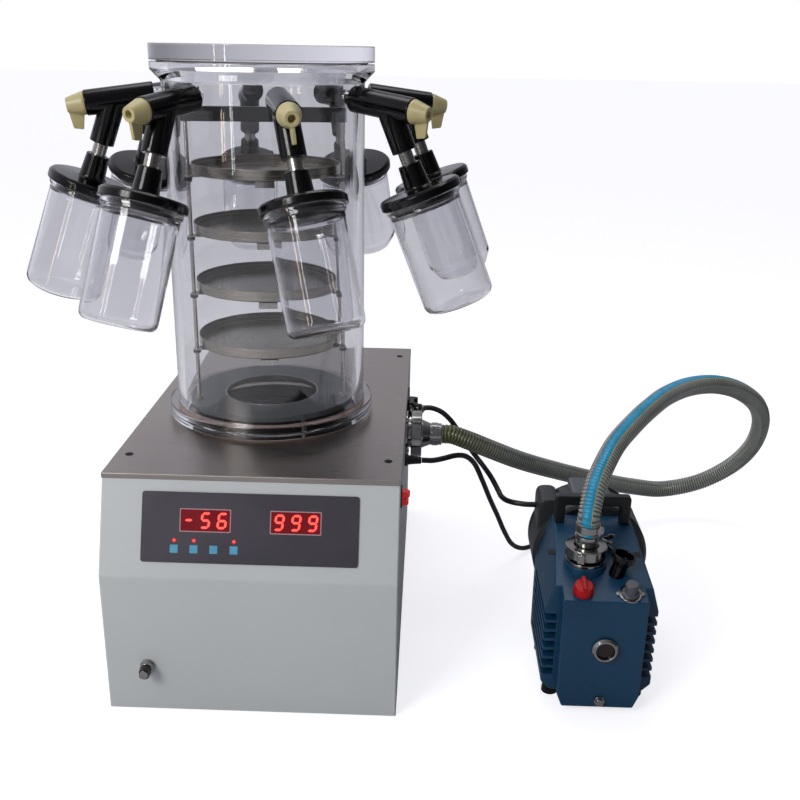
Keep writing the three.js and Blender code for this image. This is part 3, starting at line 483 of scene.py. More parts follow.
def sweep(path, angles, radius_at, side):
    """A tube along a path. side is the way that angle 0 faces where it starts."""
    count = len(path)
    tangents = np.gradient(path, axis=0)
    tangents /= np.linalg.norm(tangents, axis=1)[:, None]
    bm = bmesh.new()
    rows = []
    across = np.array(side, float)
    for i in range(count):
        across = across - tangents[i] * (across @ tangents[i])
        across /= np.linalg.norm(across)
        other = np.cross(tangents[i], across)
        row = []
        for angle in angles:
            out = across * math.cos(angle) + other * math.sin(angle)
            row.append(bm.verts.new(path[i] + out * radius_at(i, angle)))
        rows.append(row)
    sides = len(angles)
    for i in range(count - 1):
        for k in range(sides):
            n = (k + 1) % sides
            bm.faces.new([rows[i][k], rows[i][n], rows[i + 1][n], rows[i + 1][k]])
    bm.faces.new(list(reversed(rows[0])))
    bm.faces.new(rows[-1])
    return bm


SHARP = math.radians(50)


def baked(name, bm, mats):
    """Mesh code in millimetres as a smooth-shaded mesh in metres."""
    bm.transform(Matrix.Scale(MM, 4))
    mesh = bpy.data.meshes.new(name)
    bm.to_mesh(mesh)
    bm.free()
    mesh.shade_smooth()
    mesh.set_sharp_from_angle(angle=SHARP)
    for mat in mats:
        mesh.materials.append(mat)
    return mesh


def piece(name, shape, finishes, body="dryer", replaces=(), matrix=None, even=True):
    """A finished piece that rides on a body. shape is mesh code, or a mesh that copies share."""
    finishes = [finishes] if isinstance(finishes, str) else finishes
    mesh = shape if isinstance(shape, bpy.types.Mesh) else baked(name, shape, [look[f] for f in finishes])
    obj = linked(name, mesh)
    if matrix:
        place = matrix.copy()
        place.translation = matrix.translation * MM
        obj.matrix_world = place
    if even:
        obj.modifiers.new("even", "WEIGHTED_NORMAL").keep_sharp = True
    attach(obj, body)
    if replaces:
        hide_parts(*replaces)
    return obj


def carried(name, finish_name):
    """A CAD node that stays, with a finished material."""
    for material_slot in frame["nodes"][name].material_slots:
        material_slot.material = look[finish_name]


# ---------- cords and hose ----------
CORD_R = 4
HOSE_R = 14.6
RIB_PITCH = 4.6
RIB_DEPTH = 1.5
STEPS_PER_RIB = 5

# Chosen points of the cords' middle lines, from the unit to their far ends.
HOSE_ROUTE = [
    (238.3, 10, 268), (252, 10, 268), (276, 13, 259), (318, 30, 236), (362, 61, 208), (437, 132, 160),
    (518, 206, 113), (589, 266, 77), (651, 297, 60), (718, 302, 75), (765, 287, 114), (786, 259, 163),
    (784, 225, 218), (760, 187, 265), (713, 144, 304), (661, 102, 327), (609, 57, 337), (564, 8, 338),
    (526, -46, 334), (494, -95, 327), (468, -135, 317), (449, -170, 303), (434, -199, 284),
    (427, -216, 262), (425, -222, 251), (425, -222, 243.3),
]
MAINS_ROUTE = [
    (209.3, -40, 246), (217, -40, 246), (225, -40, 246), (241, -36, 248), (258, -24, 248), (274, -8, 241),
    (288, 8, 224), (303, 30, 187), (319, 55, 142), (333, 75, 106), (348, 96, 66), (364, 118, 32),
    (384, 142, 12), (410, 170, 4.6), (440, 194, 4.3), (474, 208, 4.3), (505, 218, 4.4),
]
PUMP_CORD_ROUTE = [
    (208.3, 74, 286), (215, 74, 286), (222, 74, 286), (237, 73, 281), (251, 70, 270), (264, 66, 254),
    (277, 60, 236), (292, 52, 218), (305, 40, 205), (315, 25, 196), (322, 5, 190), (326, -15, 188),
    (329, -35, 189), (336, -52, 191), (347, -63, 193), (362, -67, 193), (369, -67, 193), (375.7, -67, 193),
]
COIL_AT = (530, 271.5)
COIL_STEPS = 36
COIL_TURNS = 4.36
COIL_INNER = 32
COIL_PITCH = 8.5
INWARD_TURNS = 2.05
TURN_BACK = 0.1
CLIMB_FROM = 1.7
CLIMB_TURNS = 0.6
LAYER_UP = 8.1
PLUG_ENTRY = [(557, 322.7, 9.9), (545.4, 331.6, 9.9), (534, 334.7, 9.9), (527.2, 334.8, 9.9)]


def coil_route():
    """Winds inward on the floor, climbs, and winds outward on top of that."""
    points = []
    for step in range(round(COIL_STEPS * COIL_TURNS)):
        turn = step / COIL_STEPS
        r = COIL_INNER + COIL_PITCH * math.sqrt((turn - INWARD_TURNS) ** 2 + TURN_BACK)
        climb = min(1, max(0, (turn - CLIMB_FROM) / CLIMB_TURNS))
        z = CORD_R + 0.5 + LAYER_UP * climb * climb * (3 - 2 * climb)
        angle = 2 * math.pi * turn - math.pi / 2
        points.append((COIL_AT[0] + r * math.cos(angle), COIL_AT[1] + r * math.sin(angle), z))
    return points


def even_angles(sides):
    return [2 * math.pi * k / sides for k in range(sides)]


def free_cord(name, route, radius, replaces, with_pieces=()):
    path, run = smooth_path(route, 3.5)
    obj = piece(name, sweep(path, even_angles(14), lambda i, a: radius, (0, 0, 1)), "cord",
                replaces=replaces, even=False)
    return obj


HOSE_TURN = 240
HOSE_COLORS = ["hose", "stripe", "crimson", "yellow", "valley_shade"]
# The last hose colour is painted shade for the rib valleys.
SHADED_VALLEY = 4


def hose_skin(path, step, side, turn):
    """Ribbed skin with a blue stripe between a yellow and a red line, and painted shade on the faces deep in the rib
    valleys.
    """
    lines = [(-30, 3), (-26, 1), (-13, 1), (0, 1), (13, 1), (26, 2), (30, 0)]
    plain = [30 + 300 * k / 19 for k in range(1, 19)]
    angles = [math.radians(a + turn) for a in [angle for angle, _ in lines] + plain]
    bands = [band for _, band in lines] + [0] * len(plain)
    pitch = RIB_PITCH / step

    def wave(i, angle):
        return 0.5 + 0.5 * math.cos(2 * math.pi * i / pitch + angle)

    def radius_at(i, angle):
        return HOSE_R - RIB_DEPTH * wave(i, angle) ** 1.6

    bm = sweep(path, angles, radius_at, side)
    for index, face in enumerate(bm.faces):
        if len(face.verts) == 4:
            row, column = divmod(index, len(angles))
            band = bands[column]
            # Faces deep in a rib valley get the darker vinyl as painted shade.
            in_valley_shade = band == 0 and wave(row + 0.5, angles[column]) > 0.62
            face.material_index = SHADED_VALLEY if in_valley_shade else band
    return bm


def suction_hose():
    path, run = smooth_path(HOSE_ROUTE, RIB_PITCH / STEPS_PER_RIB)
    skin = hose_skin(path, run / (len(path) - 1), (0, 0, 1), HOSE_TURN)
    obj = piece("vacuum_hose", skin, HOSE_COLORS, replaces=["suction_hose"], even=False)


suction_hose()


def mains_plug():
    """Moulded plug with the cord let in at its side, and two flat pins."""
    low, high = span("mains_plug")
    grip = prism(rectangle(low.x, high.x, low.z, high.z, 5), -(low.y + 18), -low.y, TO_Y)
    grip = beveled(grip, 1.6)
    boot = lathe([(0, 0), (6.5, 0, 1), (4.4, 13, 1), (0, 13)], 20,
                 aimed((high.x - 1, low.y + 9, (low.z + high.z) / 2), (1, 0, 0)))
    middle = (low.x + high.x) / 2
    pins = [block(middle + x - 1, middle + x + 1, low.y + 17, high.y, 7, 12, 0.6) for x in (-8, 8)]
    body = piece("plug_body", merged(grip, boot), "black", replaces=["mains_plug"])
    metal = piece("plug_pins", merged(*pins), "steel")
    return [body, metal]


def coil_tie():
    """A strap round the coil's turns."""
    outer = rectangle(31, 51.2, 0, 17.5, 5)
    inner = rectangle(31.8, 50.4, 0.4, 16.8, 4.2)
    band = cut(prism(outer, -5, 5), prism(inner, -6, 6))
    turn = Matrix.Rotation(math.radians(150), 4, "Z")
    place = Matrix.Translation((*COIL_AT, 0)) @ turn @ axes((1, 0, 0), (0, 0, 1), (0, -1, 0))
    return piece("coil_tie", moved(band, place), "black", replaces=["mains_coil"])


mains_route = MAINS_ROUTE + coil_route() + PLUG_ENTRY
free_cord("mains_lead", mains_route, CORD_R, ["mains_cord"],
          with_pieces=[*mains_plug(), coil_tie()])
free_cord("pump_lead", PUMP_CORD_ROUTE, CORD_R, ["pump_cord"])


# ---------- cabinet ----------
def cabinet_skin():
    """Folded sheet: two sides and a front with one crease, open above, below and behind."""
    rear = BACK - GAP
    outline = [(FRONT, 1), (rear, 1), (rear, SHELL_TOP), (SHELL_FRONT, SHELL_TOP), (FRONT, CREASE)]
    bm = bmesh.new()
    left = [bm.verts.new((-HALF_W, y, z)) for y, z in outline]
    right = [bm.verts.new((HALF_W, y, z)) for y, z in outline]
    bm.faces.new(list(reversed(left)))
    bm.faces.new(right)
    bm.faces.new([left[0], right[0], right[4], left[4]])
    bm.faces.new([left[4], right[4], right[3], left[3]])
    bmesh.ops.recalc_face_normals(bm, faces=bm.faces)
    if left[0].link_faces[0].normal.x > 0:
        bmesh.ops.reverse_faces(bm, faces=bm.faces)
    skin = shaped(bm, bevels(2.4, 4, 10), ("SOLIDIFY", dict(thickness=SHEET, offset=-1)))
    piece("cabinet_skin", skin, "paint", replaces=["cabinet_shell"])


def plate_screws():
    """Countersunk cross-head screws near the plate's corners."""
    heads = []
    for x in (-167, 167):
        for y in (SHELL_FRONT + 60, BACK - 48):
            head = lathe([(0, 0), (5.2, 0), (5.2, 0.5, 0.4), (0, 1.1)], 32)
            for turn in (0.4, 0.4 + math.pi / 2):
                slot = moved(block(-3, 3, -0.5, 0.5, 0.3, 3), Matrix.Rotation(turn, 4, "Z"))
                head = cut(head, slot)
            heads.append(shifted(head, x, y, PLATE_TOP))
    piece("plate_screws", merged(*heads), "dark")


def top_plate():
    """Folded steel plate with the trap's hole."""
    bm = bmesh.new()
    corners = [(plate_low.x, plate_low.y), (plate_high.x, plate_low.y),
               (plate_high.x, plate_high.y), (plate_low.x, plate_high.y)]
    roof = [bm.verts.new((x, y, PLATE_TOP)) for x, y in corners]
    hem = [bm.verts.new((x, y, plate_low.z)) for x, y in corners]
    bm.faces.new(roof)
    for i in range(4):
        bm.faces.new([hem[i], hem[(i + 1) % 4], roof[(i + 1) % 4], roof[i]])
    bmesh.ops.recalc_face_normals(bm, faces=bm.faces)
    plate = shaped(bm, bevels(1.3, 3), ("SOLIDIFY", dict(thickness=SHEET, offset=-1)))
    hole = lathe([(0, -10), (TRAP_R + 0.1, -10), (TRAP_R + 0.1, 10), (0, 10)], 128,
                 Matrix.Translation(AXIS + Vector((0, 0, PLATE_TOP))))
    piece("steel_top", cut(plate, hole), "plate", replaces=["top_plate"])


rise = Vector((0, SHELL_FRONT - FRONT, SHELL_TOP - CREASE)).normalized()
SLOPE = axes((1, 0, 0), rise, Vector((1, 0, 0)).cross(rise), (0, FRONT, CREASE))
PANEL_MIDDLE = 64
PANEL_FACE = 1.8
WINDOWS = [(-54, "-56"), (57.5, "999")]
WINDOW_HALF = (30.5, 13.2)
KEYS = [(-91.7, True), (-67.3, True), (-42.8, False), (-17.9, True)]
SEGMENTS = {"-": "g", "5": "afgcd", "6": "afgcde", "9": "abcdfg"}
SEGMENT_TRIM = 0.35
DIGIT_HALF = (4.7, 8.7)
DIGIT_LEAN = 0.14
DIGIT_PLACES = (-20.5, 0.2, 20.8)
FILM = (-133, 135, 20.5, 107.5)
WINDOW_Y = PANEL_MIDDLE + 9
KEY_Y = 37.5
KEY_HALF = 5
LAMP_Y = 48


def bar(x0, y0, x1, y1, half, z0, z1):
    """A flat bar with pointed ends between two points."""
    run = Vector((x1 - x0, y1 - y0)).normalized()
    side = Vector((-run.y, run.x)) * half
    start, end = Vector((x0, y0)), Vector((x1, y1))
    tip = run * half
    outline = [start, start + tip + side, end - tip + side, end, end - tip - side, start + tip - side]
    return prism([(*p,) for p in outline], z0, z1)


def digit(symbol, half, low, high):
    """One seven-segment figure that leans to the right."""
    w, h = DIGIT_HALF
    ends = {"a": (-w, h, w, h), "g": (-w, 0, w, 0), "d": (-w, -h, w, -h), "f": (-w, 0, -w, h),
            "b": (w, 0, w, h), "e": (-w, -h, -w, 0), "c": (w, -h, w, 0)}
    lean = Matrix(((1, DIGIT_LEAN, 0, 0), (0, 1, 0, 0), (0, 0, 1, 0), (0, 0, 0, 1)))
    bars = []
    for key in SEGMENTS[symbol]:
        x0, y0, x1, y1 = ends[key]
        run = Vector((x1 - x0, y1 - y0)).normalized() * SEGMENT_TRIM
        bars.append(bar(x0 + run.x, y0 + run.y, x1 - run.x, y1 - run.y, half, low, high))
    return moved(merged(*bars), lean)


def window_block(x, margin, low, high, corner):
    """A block the size of a display window, with a margin all round."""
    wide, tall = WINDOW_HALF
    return block(x - wide - margin, x + wide + margin, WINDOW_Y - tall - margin, WINDOW_Y + tall + margin,
                 low, high, corner)


def control_panel():
    """Film with two sunk windows, their lit figures, four keys and the keys' lamps; the windows' faint red emission
    and the glow round the figures and lamps are painted glow.
    """
    face = PANEL_FACE
    film = beveled(prism(rectangle(*FILM, 4), GAP, face), 0.3, 2)
    frames, windows, cores, painted_glows, keys = [], [], [], [], []
    for x, text in WINDOWS:
        film = cut(film, window_block(x, 0, face - 0.8, 5, 0.8))
        frames.append(cut(window_block(x, 1.1, face, face + 0.12, 1.2), window_block(x, 0, 0, 5, 0.8)))
        windows.append(window_block(x, 0, face - 0.9, face - 0.35, 0.8))
        for place, symbol in zip(DIGIT_PLACES, text):
            # A wider, dimmer copy behind each figure is painted glow.
            painted_glows.append(shifted(digit(symbol, 2.1, face - 0.4, face - 0.28), x + place, WINDOW_Y, 0))
            cores.append(shifted(digit(symbol, 1.15, face - 0.3, face - 0.2), x + place, WINDOW_Y, 0))
    for x, on in KEYS:
        key = block(-KEY_HALF, KEY_HALF, -KEY_HALF, KEY_HALF, face - 0.1, face + 0.6, 0.8)
        keys.append(beveled(shifted(key, x, KEY_Y, 0), 0.25, 2))
        if on:
            dome = lathe([(0, 0), (1.5, 0), (1.1, 0.7, 0.4), (0, 0.9)], 20)
            # The thin glowing disc round each lamp is a painted pool of glow.
            glow = lathe([(0, 0), (2.6, 0), (2.6, 0.08), (0, 0.08)], 28)
            cores.append(shifted(dome, x, LAMP_Y, face - 0.1))
            painted_glows.append(shifted(glow, x, LAMP_Y, face))
    piece("film_panel", moved(film, SLOPE), "film", replaces=["control_panel"])
    piece("window_frames", moved(merged(*frames), SLOPE), "frame")
    piece("display_windows", moved(merged(*windows), SLOPE), "window")
    piece("lit_segments", moved(merged(*cores), SLOPE), "core", even=False)
    piece("segment_painted_glow", moved(merged(*painted_glows), SLOPE), "halo", even=False)
    piece("membrane_keys", moved(merged(*keys), SLOPE), "key")


SWITCH_HALF = (7, 10)
ROCKER_TILT = 8
BEZEL = 2.4


def power_switch():
    """Lit rocker with two crowned wings in a black bezel, and painted shade in the dip between the wings."""
    point, _ = joint("power_rock")
    place = axes((0, 0, 1), (1, 0, 0), (0, 1, 0), point)
    wide, tall = SWITCH_HALF
    outline = [(-9, -3), (9, -3), (9.3, 5, 2.5), (7, 11, 3), (3, 10, 2.5), (0.9, 4.6, 0.4), (-0.9, 4.6, 0.4),
               (-3, 10, 2.5), (-7, 11, 3), (-9.3, 5, 2.5)]
    key = beveled(prism(outline, 0.5 - wide, wide - 0.5), 0.9, 3)
    turn = place @ Matrix.Rotation(math.radians(ROCKER_TILT), 4, "Z")
    piece("rocker_key", moved(key, turn), "lit_red", body="power_key",
          replaces=["power_rocker"])
    line = block(-0.8, 0.8, 4, 6.6, -wide + 0.7, wide - 0.7, 0.3)
    # The near-black strip in the dip between the wings is painted shade.
    piece("rocker_line", moved(line, turn), "dark", body="power_key")
    outer = block(-tall - BEZEL, tall + BEZEL, -wide - BEZEL, wide + BEZEL, 0, 1.6, 2)
    bezel = cut(beveled(outer, 0.5, 2), block(-tall + 0.3, tall - 0.3, -wide, wide, -1, 3))
    flat = axes((0, 0, 1), (0, 1, 0), (-1, 0, 0), point)
    piece("switch_bezel", moved(bezel, flat @ Matrix.Scale(-1, 4, (0, 0, 1))), "black")


def vent_valve():
    """Chrome stem on a round base, with a black ring knob round it."""
    point, axis = joint("vent_turn")
    place = aimed(point, axis)
    stem = lathe([(0, -3), (9.6, -3), (9.6, 2.6, 0.8), (8.5, 4, 0.8), (8.5, 9.4, 0.8), (3, 9.7),
                  (3, 20.3, 0.3), (5.6, 20.3, 0.3), (5.6, 21.2, 0.4), (0, 21.4)], 48)
    piece("vent_stem", moved(stem, place), "chrome")
    drum = lathe([(3.3, 10, 0.3), (7.5, 10, 0.8), (7.5, 20, 1.2), (3.3, 20, 0.6)], 48)
    knob = cut(drum, block(-6, 6, -9, 9, 5, 25), "INTERSECT")
    piece("vent_ring_knob", moved(beveled(knob, 0.4, 2, 40), place), "black",
          body="vent_ring", replaces=["vent_knob"])


TRAP_R = 106.7
TRAP_LIP = 14


def cold_trap():
    """Steel cup that hangs from a lip under the plate."""
    low = span("cold_trap")[0].z
    under = PLATE_TOP - SHEET - GAP
    inner, lip = TRAP_R - SHEET, TRAP_R + TRAP_LIP
    cup = lathe([
        (0, low), (TRAP_R - 10, low), (TRAP_R, low + 10, 6), (TRAP_R, under - SHEET),
        (lip, under - SHEET), (lip, under), (TRAP_R, under), (TRAP_R, PLATE_TOP, 0.6),
        (inner, PLATE_TOP, 0.6), (inner, low + 11, 5), (inner - 9, low + SHEET, 2), (0, low + SHEET),
    ], 128)
    piece("trap_cup", cup, "trap", replaces=["cold_trap"], matrix=Matrix.Translation(AXIS))


cabinet_skin()
top_plate()
plate_screws()
control_panel()
power_switch()
vent_valve()
cold_trap()
carried("base_pan", "pan")
carried("rear_panel", "paint")


def side_connectors():
    """Pump plug in its socket and a fuse holder on one plate."""
    low, high = span("side_connectors")
    middle = (low.z + high.z) / 2
    plug_y, fuse_y = low.y + 15, high.y - 12
    plate = block(low.y, high.y, low.z, high.z, low.x, low.x + 2.7, 2)
    shell = block(plug_y - 13, plug_y + 13, middle - 12, middle + 12, low.x + 2, low.x + 9.7, 3)
    parts = [moved(beveled(part, 0.6, 2), TO_X) for part in (plate, shell)]
    neck = lathe([(0, 9), (8, 9, 0.6), (5.6, 23, 1), (0, 23)], 28,
                 aimed((HALF_W, plug_y, middle), (1, 0, 0)))
    fuse = lathe([(0, 2), (6, 2), (6, 9, 0.8), (5, 16, 1.2), (0, 16)], 28,
                 aimed((HALF_W, fuse_y, middle), (1, 0, 0)))
    piece("connector_plate", merged(*parts, neck, fuse), "black",
          replaces=["side_connectors"])


side_connectors()


# ---------- drying chamber ----------
PORT_DOWN = 39.3
DROOP = 7.5
# Each station's letter, its place round the chamber and its twist in degrees, and a round flask or not.
STATIONS = [
    ("a", 16, 8, False), ("b", 61, 10, False), ("c", 106, -6, True), ("d", 151, 3, True),
    ("e", 196, 0, True), ("f", 241, -4, True), ("g", 286, -4, False), ("h", 332, -3, False),
]


def station(azimuth, twist):
    """The frame of one manifold port; its +X runs outward along the valve."""
    return (Matrix.Translation(AXIS + Vector((0, 0, CHAMBER_TOP - PORT_DOWN)))
            @ Matrix.Rotation(math.radians(azimuth - 90), 4, "Z") @ Matrix.Translation((TUBE_R, 0, 0))
            @ Matrix.Rotation(math.radians(DROOP), 4, "Y") @ Matrix.Rotation(math.radians(twist), 4, "X"))


def ring(inner, outer, low, high, rounding):
    """A flat ring about the chamber's axis."""
    corners = ((inner, low), (outer, low), (outer, high), (inner, high))
    return lathe([(r, z, rounding) for r, z in corners], 128, Matrix.Translation(AXIS))


def chamber():
    """Clear tube with its flanges, stubs and seals, and the lid."""
    foot, top = CHAMBER_LOW, CHAMBER_TOP
    groove = foot + 9
    flange = TUBE_R + 12
    wall = lathe([
        (TUBE_IN, foot), (flange, foot, 1), (flange, groove - 1), (flange - 1.5, groove),
        (flange, groove + 1), (flange, foot + 18, 1.5), (TUBE_R, foot + 18, 1.2), (TUBE_R, top - 23, 2),
        (LID_R, top - 9.5, 1), (LID_R, top, 1), (TUBE_IN, top, 0.5),
    ], 128, Matrix.Translation(AXIS))
    stubs = []
    bores = []
    for _, azimuth, twist, _ in STATIONS:
        place = station(azimuth, twist) @ TO_X
        stubs.append(lathe([(0, -6), (9, -6), (9, 19.7, 1), (0, 19.7)], 40, place))
        bores.append(lathe([(0, -22), (5, -22), (5, 26), (0, 26)], 24, place))
    for stub in stubs:
        wall = cut(wall, stub, "UNION")
    wall = cut(wall, merged(*bores))
    piece("acrylic_tube", wall, "acrylic", replaces=["chamber_body"])
    low, high = span("base_seal")
    piece("base_gasket", ring(TUBE_IN + 1, TUBE_R + 1, low.z, high.z, 1), "orange",
          replaces=["base_seal"])
    low, high = span("lid_seal")
    piece("lid_gasket", ring(TUBE_R, TUBE_R + 4, low.z, high.z, 0.4), "brown",
          replaces=["lid_seal"])
    disc = lathe([(0, lid_low.z), (LID_R, lid_low.z, 1), (LID_R, lid_high.z, 1.5), (0, lid_high.z)], 128)
    piece("acrylic_lid", moved(disc, Matrix.Translation(AXIS)), "acrylic", replaces=["lid"])


BAFFLE_IN = 66
BAFFLE_R = 116
POST_AT = 112


def baffle():
    """Grey ring with a steel rim, on three posts."""
    low, high = span("baffle_ring")
    parts = [ring(BAFFLE_IN, BAFFLE_R, high.z - 8, high.z, 0.8)]
    for angle in (60, 180, 300):
        foot = AXIS + POST_AT * Vector((math.cos(math.radians(angle)), math.sin(math.radians(angle)), 0))
        parts.append(rod(foot + Vector((0, 0, low.z)), foot + Vector((0, 0, high.z - 4)), 3.5, 20))
    piece("baffle_plate", merged(*parts), "grey", replaces=["baffle_ring"])
    rim = ring(BAFFLE_IN - 0.8, BAFFLE_IN + 0.4, high.z - 7.5, high.z + 0.2, 0.2)
    piece("baffle_rim", rim, "steel")


RACK_TURN = Matrix.Rotation(math.radians(-82), 4, "Z")
RACK = Matrix.Translation(AXIS + Vector((0, 0, span("baffle_ring")[1].z))) @ RACK_TURN
RACK_H = 397
ROD_AT = (36.25, 99.6)
TRAY_R = 100
TRAY_FLOORS = [76 + 78 * i for i in (3, 2, 1, 0)]


def rack():
    """Two rods with a crossbar, and a cross-shaped support and a pan on each level."""
    x, y = ROD_AT
    rods, collars, strips = [], [], []
    for side in (-y, y):
        rods.append(rod((x, side, GAP), (x, side, RACK_H - 9), 2.6, 20))
        rods.append(lathe([(0, GAP), (5.2, GAP, 0.5), (5.2, GAP + 5, 0.8), (0, GAP + 5)], 24,
                          Matrix.Translation((x, side, 0))))
        for floor in TRAY_FLOORS:
            profile = [(2.6, -7.5), (5, -7.5, 0.6), (5, -2.1, 0.6), (2.6, -2.1)]
            collars.append(lathe(profile, 24, Matrix.Translation((x, side, floor))))
    for floor in TRAY_FLOORS:
        top = floor - GAP
        tip = TRAY_R + 1
        cross = block(x - 9, x + 9, -y - 3.5, y + 3.5, top - 1.5, top, 6)
        long = block(-0.84 * TRAY_R, tip, -12, 12, top - 1.5, top, 3)
        lip = block(tip - 1.5, tip, -12, 12, top - 8, top - 0.75)
        strips += [beveled(cross, 0.3, 2), beveled(long, 0.3, 2), beveled(lip, 0.4, 2)]
    beam = beveled(block(x - 3, x + 3, -y - 5, y + 5, RACK_H - 19, RACK_H), 1.2, 3)
    piece("rack_rods", moved(merged(*rods), RACK), "steel", replaces=["rack_frame"])
    piece("rack_collars", moved(merged(*collars), RACK), "black")
    piece("rack_supports", moved(merged(*strips), RACK), "steel")
    piece("rack_crossbar", moved(beam, RACK), "black")
    inner = TRAY_R - 1.2
    pan = lathe([(0, 0), (TRAY_R, 0, 2.2), (TRAY_R, 14, 0.5), (inner, 14, 0.5), (inner, 1.2, 1.4), (0, 1.2)],
                128)
    mesh = baked("steel_tray", pan, [look["tray"]])
    for i, floor in enumerate(TRAY_FLOORS, 1):
        piece(f"steel_tray_{i}", mesh, "tray", replaces=[f"tray_{i}"],
              matrix=RACK @ Matrix.Translation((0, 0, floor)))


chamber()
baffle()
rack()

# ---------- manifold stations ----------
LEG = aimed((59, 0, 0), (math.cos(math.radians(62.7)), 0, -math.sin(math.radians(62.7))))
LEG_L = 58
CAP_FOOT = 74
CAP_AT = 106
CAP_FACE = 119
MOUTH = CAP_FACE + GAP
FLASK_L = 143
FLASK_R = 46.5
WALL = 2.5


def valve_mesh():
    """Rubber body with its slanted leg, and the flask cap below the steel tube."""
    body = lathe([
        (0, 20), (9.3, 20), (9.3, 8, 0.5), (16, 8, 2), (16, 95, 1.2), (11.3, 95, 0.6), (11.3, 45), (0, 45),
    ], 64, TO_X)
    leg = lathe([
        (0, 2), (15.5, 2), (15.5, LEG_L, 1.4), (9.4, LEG_L, 0.5), (9.4, LEG_L - 3), (0, LEG_L - 3),
    ], 64, LEG)
    cap = lathe([
        (0, CAP_FOOT + 3), (9.4, CAP_FOOT + 3), (9.4, CAP_FOOT, 0.5), (14.5, CAP_FOOT, 1.4),
        (16.5, CAP_AT - 1, 4), (50, CAP_AT + 0.5, 3), (53, CAP_AT + 4, 2), (53, CAP_FACE, 1.8),
        (41.4, CAP_FACE, 0.6), (40.2, CAP_FACE + 8, 1), (5, CAP_FACE + 8, 0.6), (5, CAP_FACE + 2), (0, CAP_FACE + 2),
    ], 96, LEG)
    joined = cut(body, leg, "UNION")
    return baked("rubber_valve", merged(joined, cap), [look["rubber"]])


def tube_mesh():
    """Steel tube between the valve's leg and the cap."""
    profile = [(0, LEG_L - 3), (9, LEG_L - 3), (9, CAP_FOOT + 3), (0, CAP_FOOT + 3)]
    return baked("steel_tube", lathe(profile, 48, LEG), [look["steel"]])


def plug_mesh():
    """Stopcock plug with its bore and its flat, tapered handle."""
    stem = lathe([
        (0, 46), (10.8, 46, 0.5), (10.8, 95.3), (14.6, 95.3, 0.5), (14.6, 98.3, 1.4), (9, 118.3, 1.2),
        (4.6, 118.3, 0.8), (4.3, 106, 0.4), (0, 106),
    ], 64, TO_X)
    outline = [(97.3, -8), (103.3, -32, 1.5), (115.3, -29, 2.5), (117.3, -7)]
    wing = beveled(prism(outline, -2.3, 2.3, TO_Y), 0.9, 3, 40)
    wing = cut(wing, lathe([(0, 90), (4.9, 90), (4.9, 125), (0, 125)], 32, TO_X))
    return baked("stopcock_plug", merged(stem, wing), [look["ivory"]])


def flask_mesh(round_bottom):
    """Blown flask: rolled lip, short neck, shoulder and a flat or round bottom."""
    r = FLASK_R
    end = MOUTH + FLASK_L
    if round_bottom:
        end -= 5
        inside = [(0, end - WALL), (r - 14, end - WALL - 6, 12), (r - WALL, end - 28, 12)]
        outside = [(r, end - 26, 12), (r - 12, end - 7, 12), (0, end)]
    else:
        inside = [(0, end - WALL), (r - WALL, end - WALL, 10)]
        outside = [(r, end, 12), (0, end)]
    profile = [*inside, (r - WALL, MOUTH + 14, 5), (41.9, MOUTH + 9, 2), (41.9, MOUTH, 0.8),
               (49, MOUTH, 1.4), (49, MOUTH + 5, 2), (r, MOUTH + 9, 3), *outside]
    return baked("flask", lathe(profile, 96, LEG), [look["glass"]])


def stations():
    valve = valve_mesh()
    tube = tube_mesh()
    plug = plug_mesh()
    flasks = {True: flask_mesh(True), False: flask_mesh(False)}
    for name, azimuth, twist, round_bottom in STATIONS:
        place = station(azimuth, twist)
        piece(f"rubber_valve_{name}", valve, "rubber",
              replaces=[f"valve_{name}"], matrix=place)
        piece(f"steel_tube_{name}", tube, "steel", matrix=place)
        piece(f"stopcock_plug_{name}", plug, "ivory", body=f"stopcock_{name}",
              replaces=[f"plug_{name}"], matrix=place)
        piece(f"glass_flask_{name}", flasks[round_bottom], "glass",
              replaces=[f"flask_{name}"], matrix=place)


stations()

# ---------- vacuum line ----------
UNIT_PORT = Vector((HALF_W, 10, PLATE_TOP - 44))
PORT_FACE = 15.5
INLET = Vector((425, -222, 205))
UNIT_CLAMP = axes((0, 0, 1), (0, 1, 0), (-1, 0, 0), UNIT_PORT + Vector((PORT_FACE + GAP / 2, 0, 0)))
PUMP_CLAMP = Matrix.Translation(INLET + Vector((0, 0, GAP / 2))) @ Matrix.Rotation(math.radians(-20), 4, "Z")
CUFF_TURN = 120


def clamp_ring(outer, tube, flange, width):
    """Two-jaw clamp ring with a V groove, a hinge and a swing bolt."""
    half = width / 2
    inner = tube + 2
    band = lathe([
        (inner, 3.4, 0.4), (inner, half, 0.8), (outer, half, 1.6), (outer, -half, 1.6), (inner, -half, 0.8),
        (inner, -3.4, 0.4), (flange + GAP, -2.2), (flange + GAP, 2.2),
    ], 96)
    band = cut(band, block(-1.2, 1.2, tube, outer + 4, -half - 1, half + 1))
    jaws = [beveled(block(x0, x1, outer - 3, outer + 8, 1 - half, half - 1, 2), 0.7)
            for x0, x1 in ((-7, -1.2), (1.2, 7))]
    hinge = beveled(block(-5, 5, -outer - 6, 3 - outer, 1 - half, half - 1, 2), 0.7)
    pin = rod((0, -outer - 2, -half - 0.5), (0, -outer - 2, half + 0.5), 1.8, 20, 0.5)
    at = outer + 4
    bolt = lathe([(0, -9), (4, -9, 0.6), (4, -6.8, 0.6), (2.2, -6.8), (2.2, 28, 0.5), (0, 28)], 24,
                 aimed((0, at, 0), (1, 0, 0)))
    return merged(band, *jaws, hinge, pin, bolt)


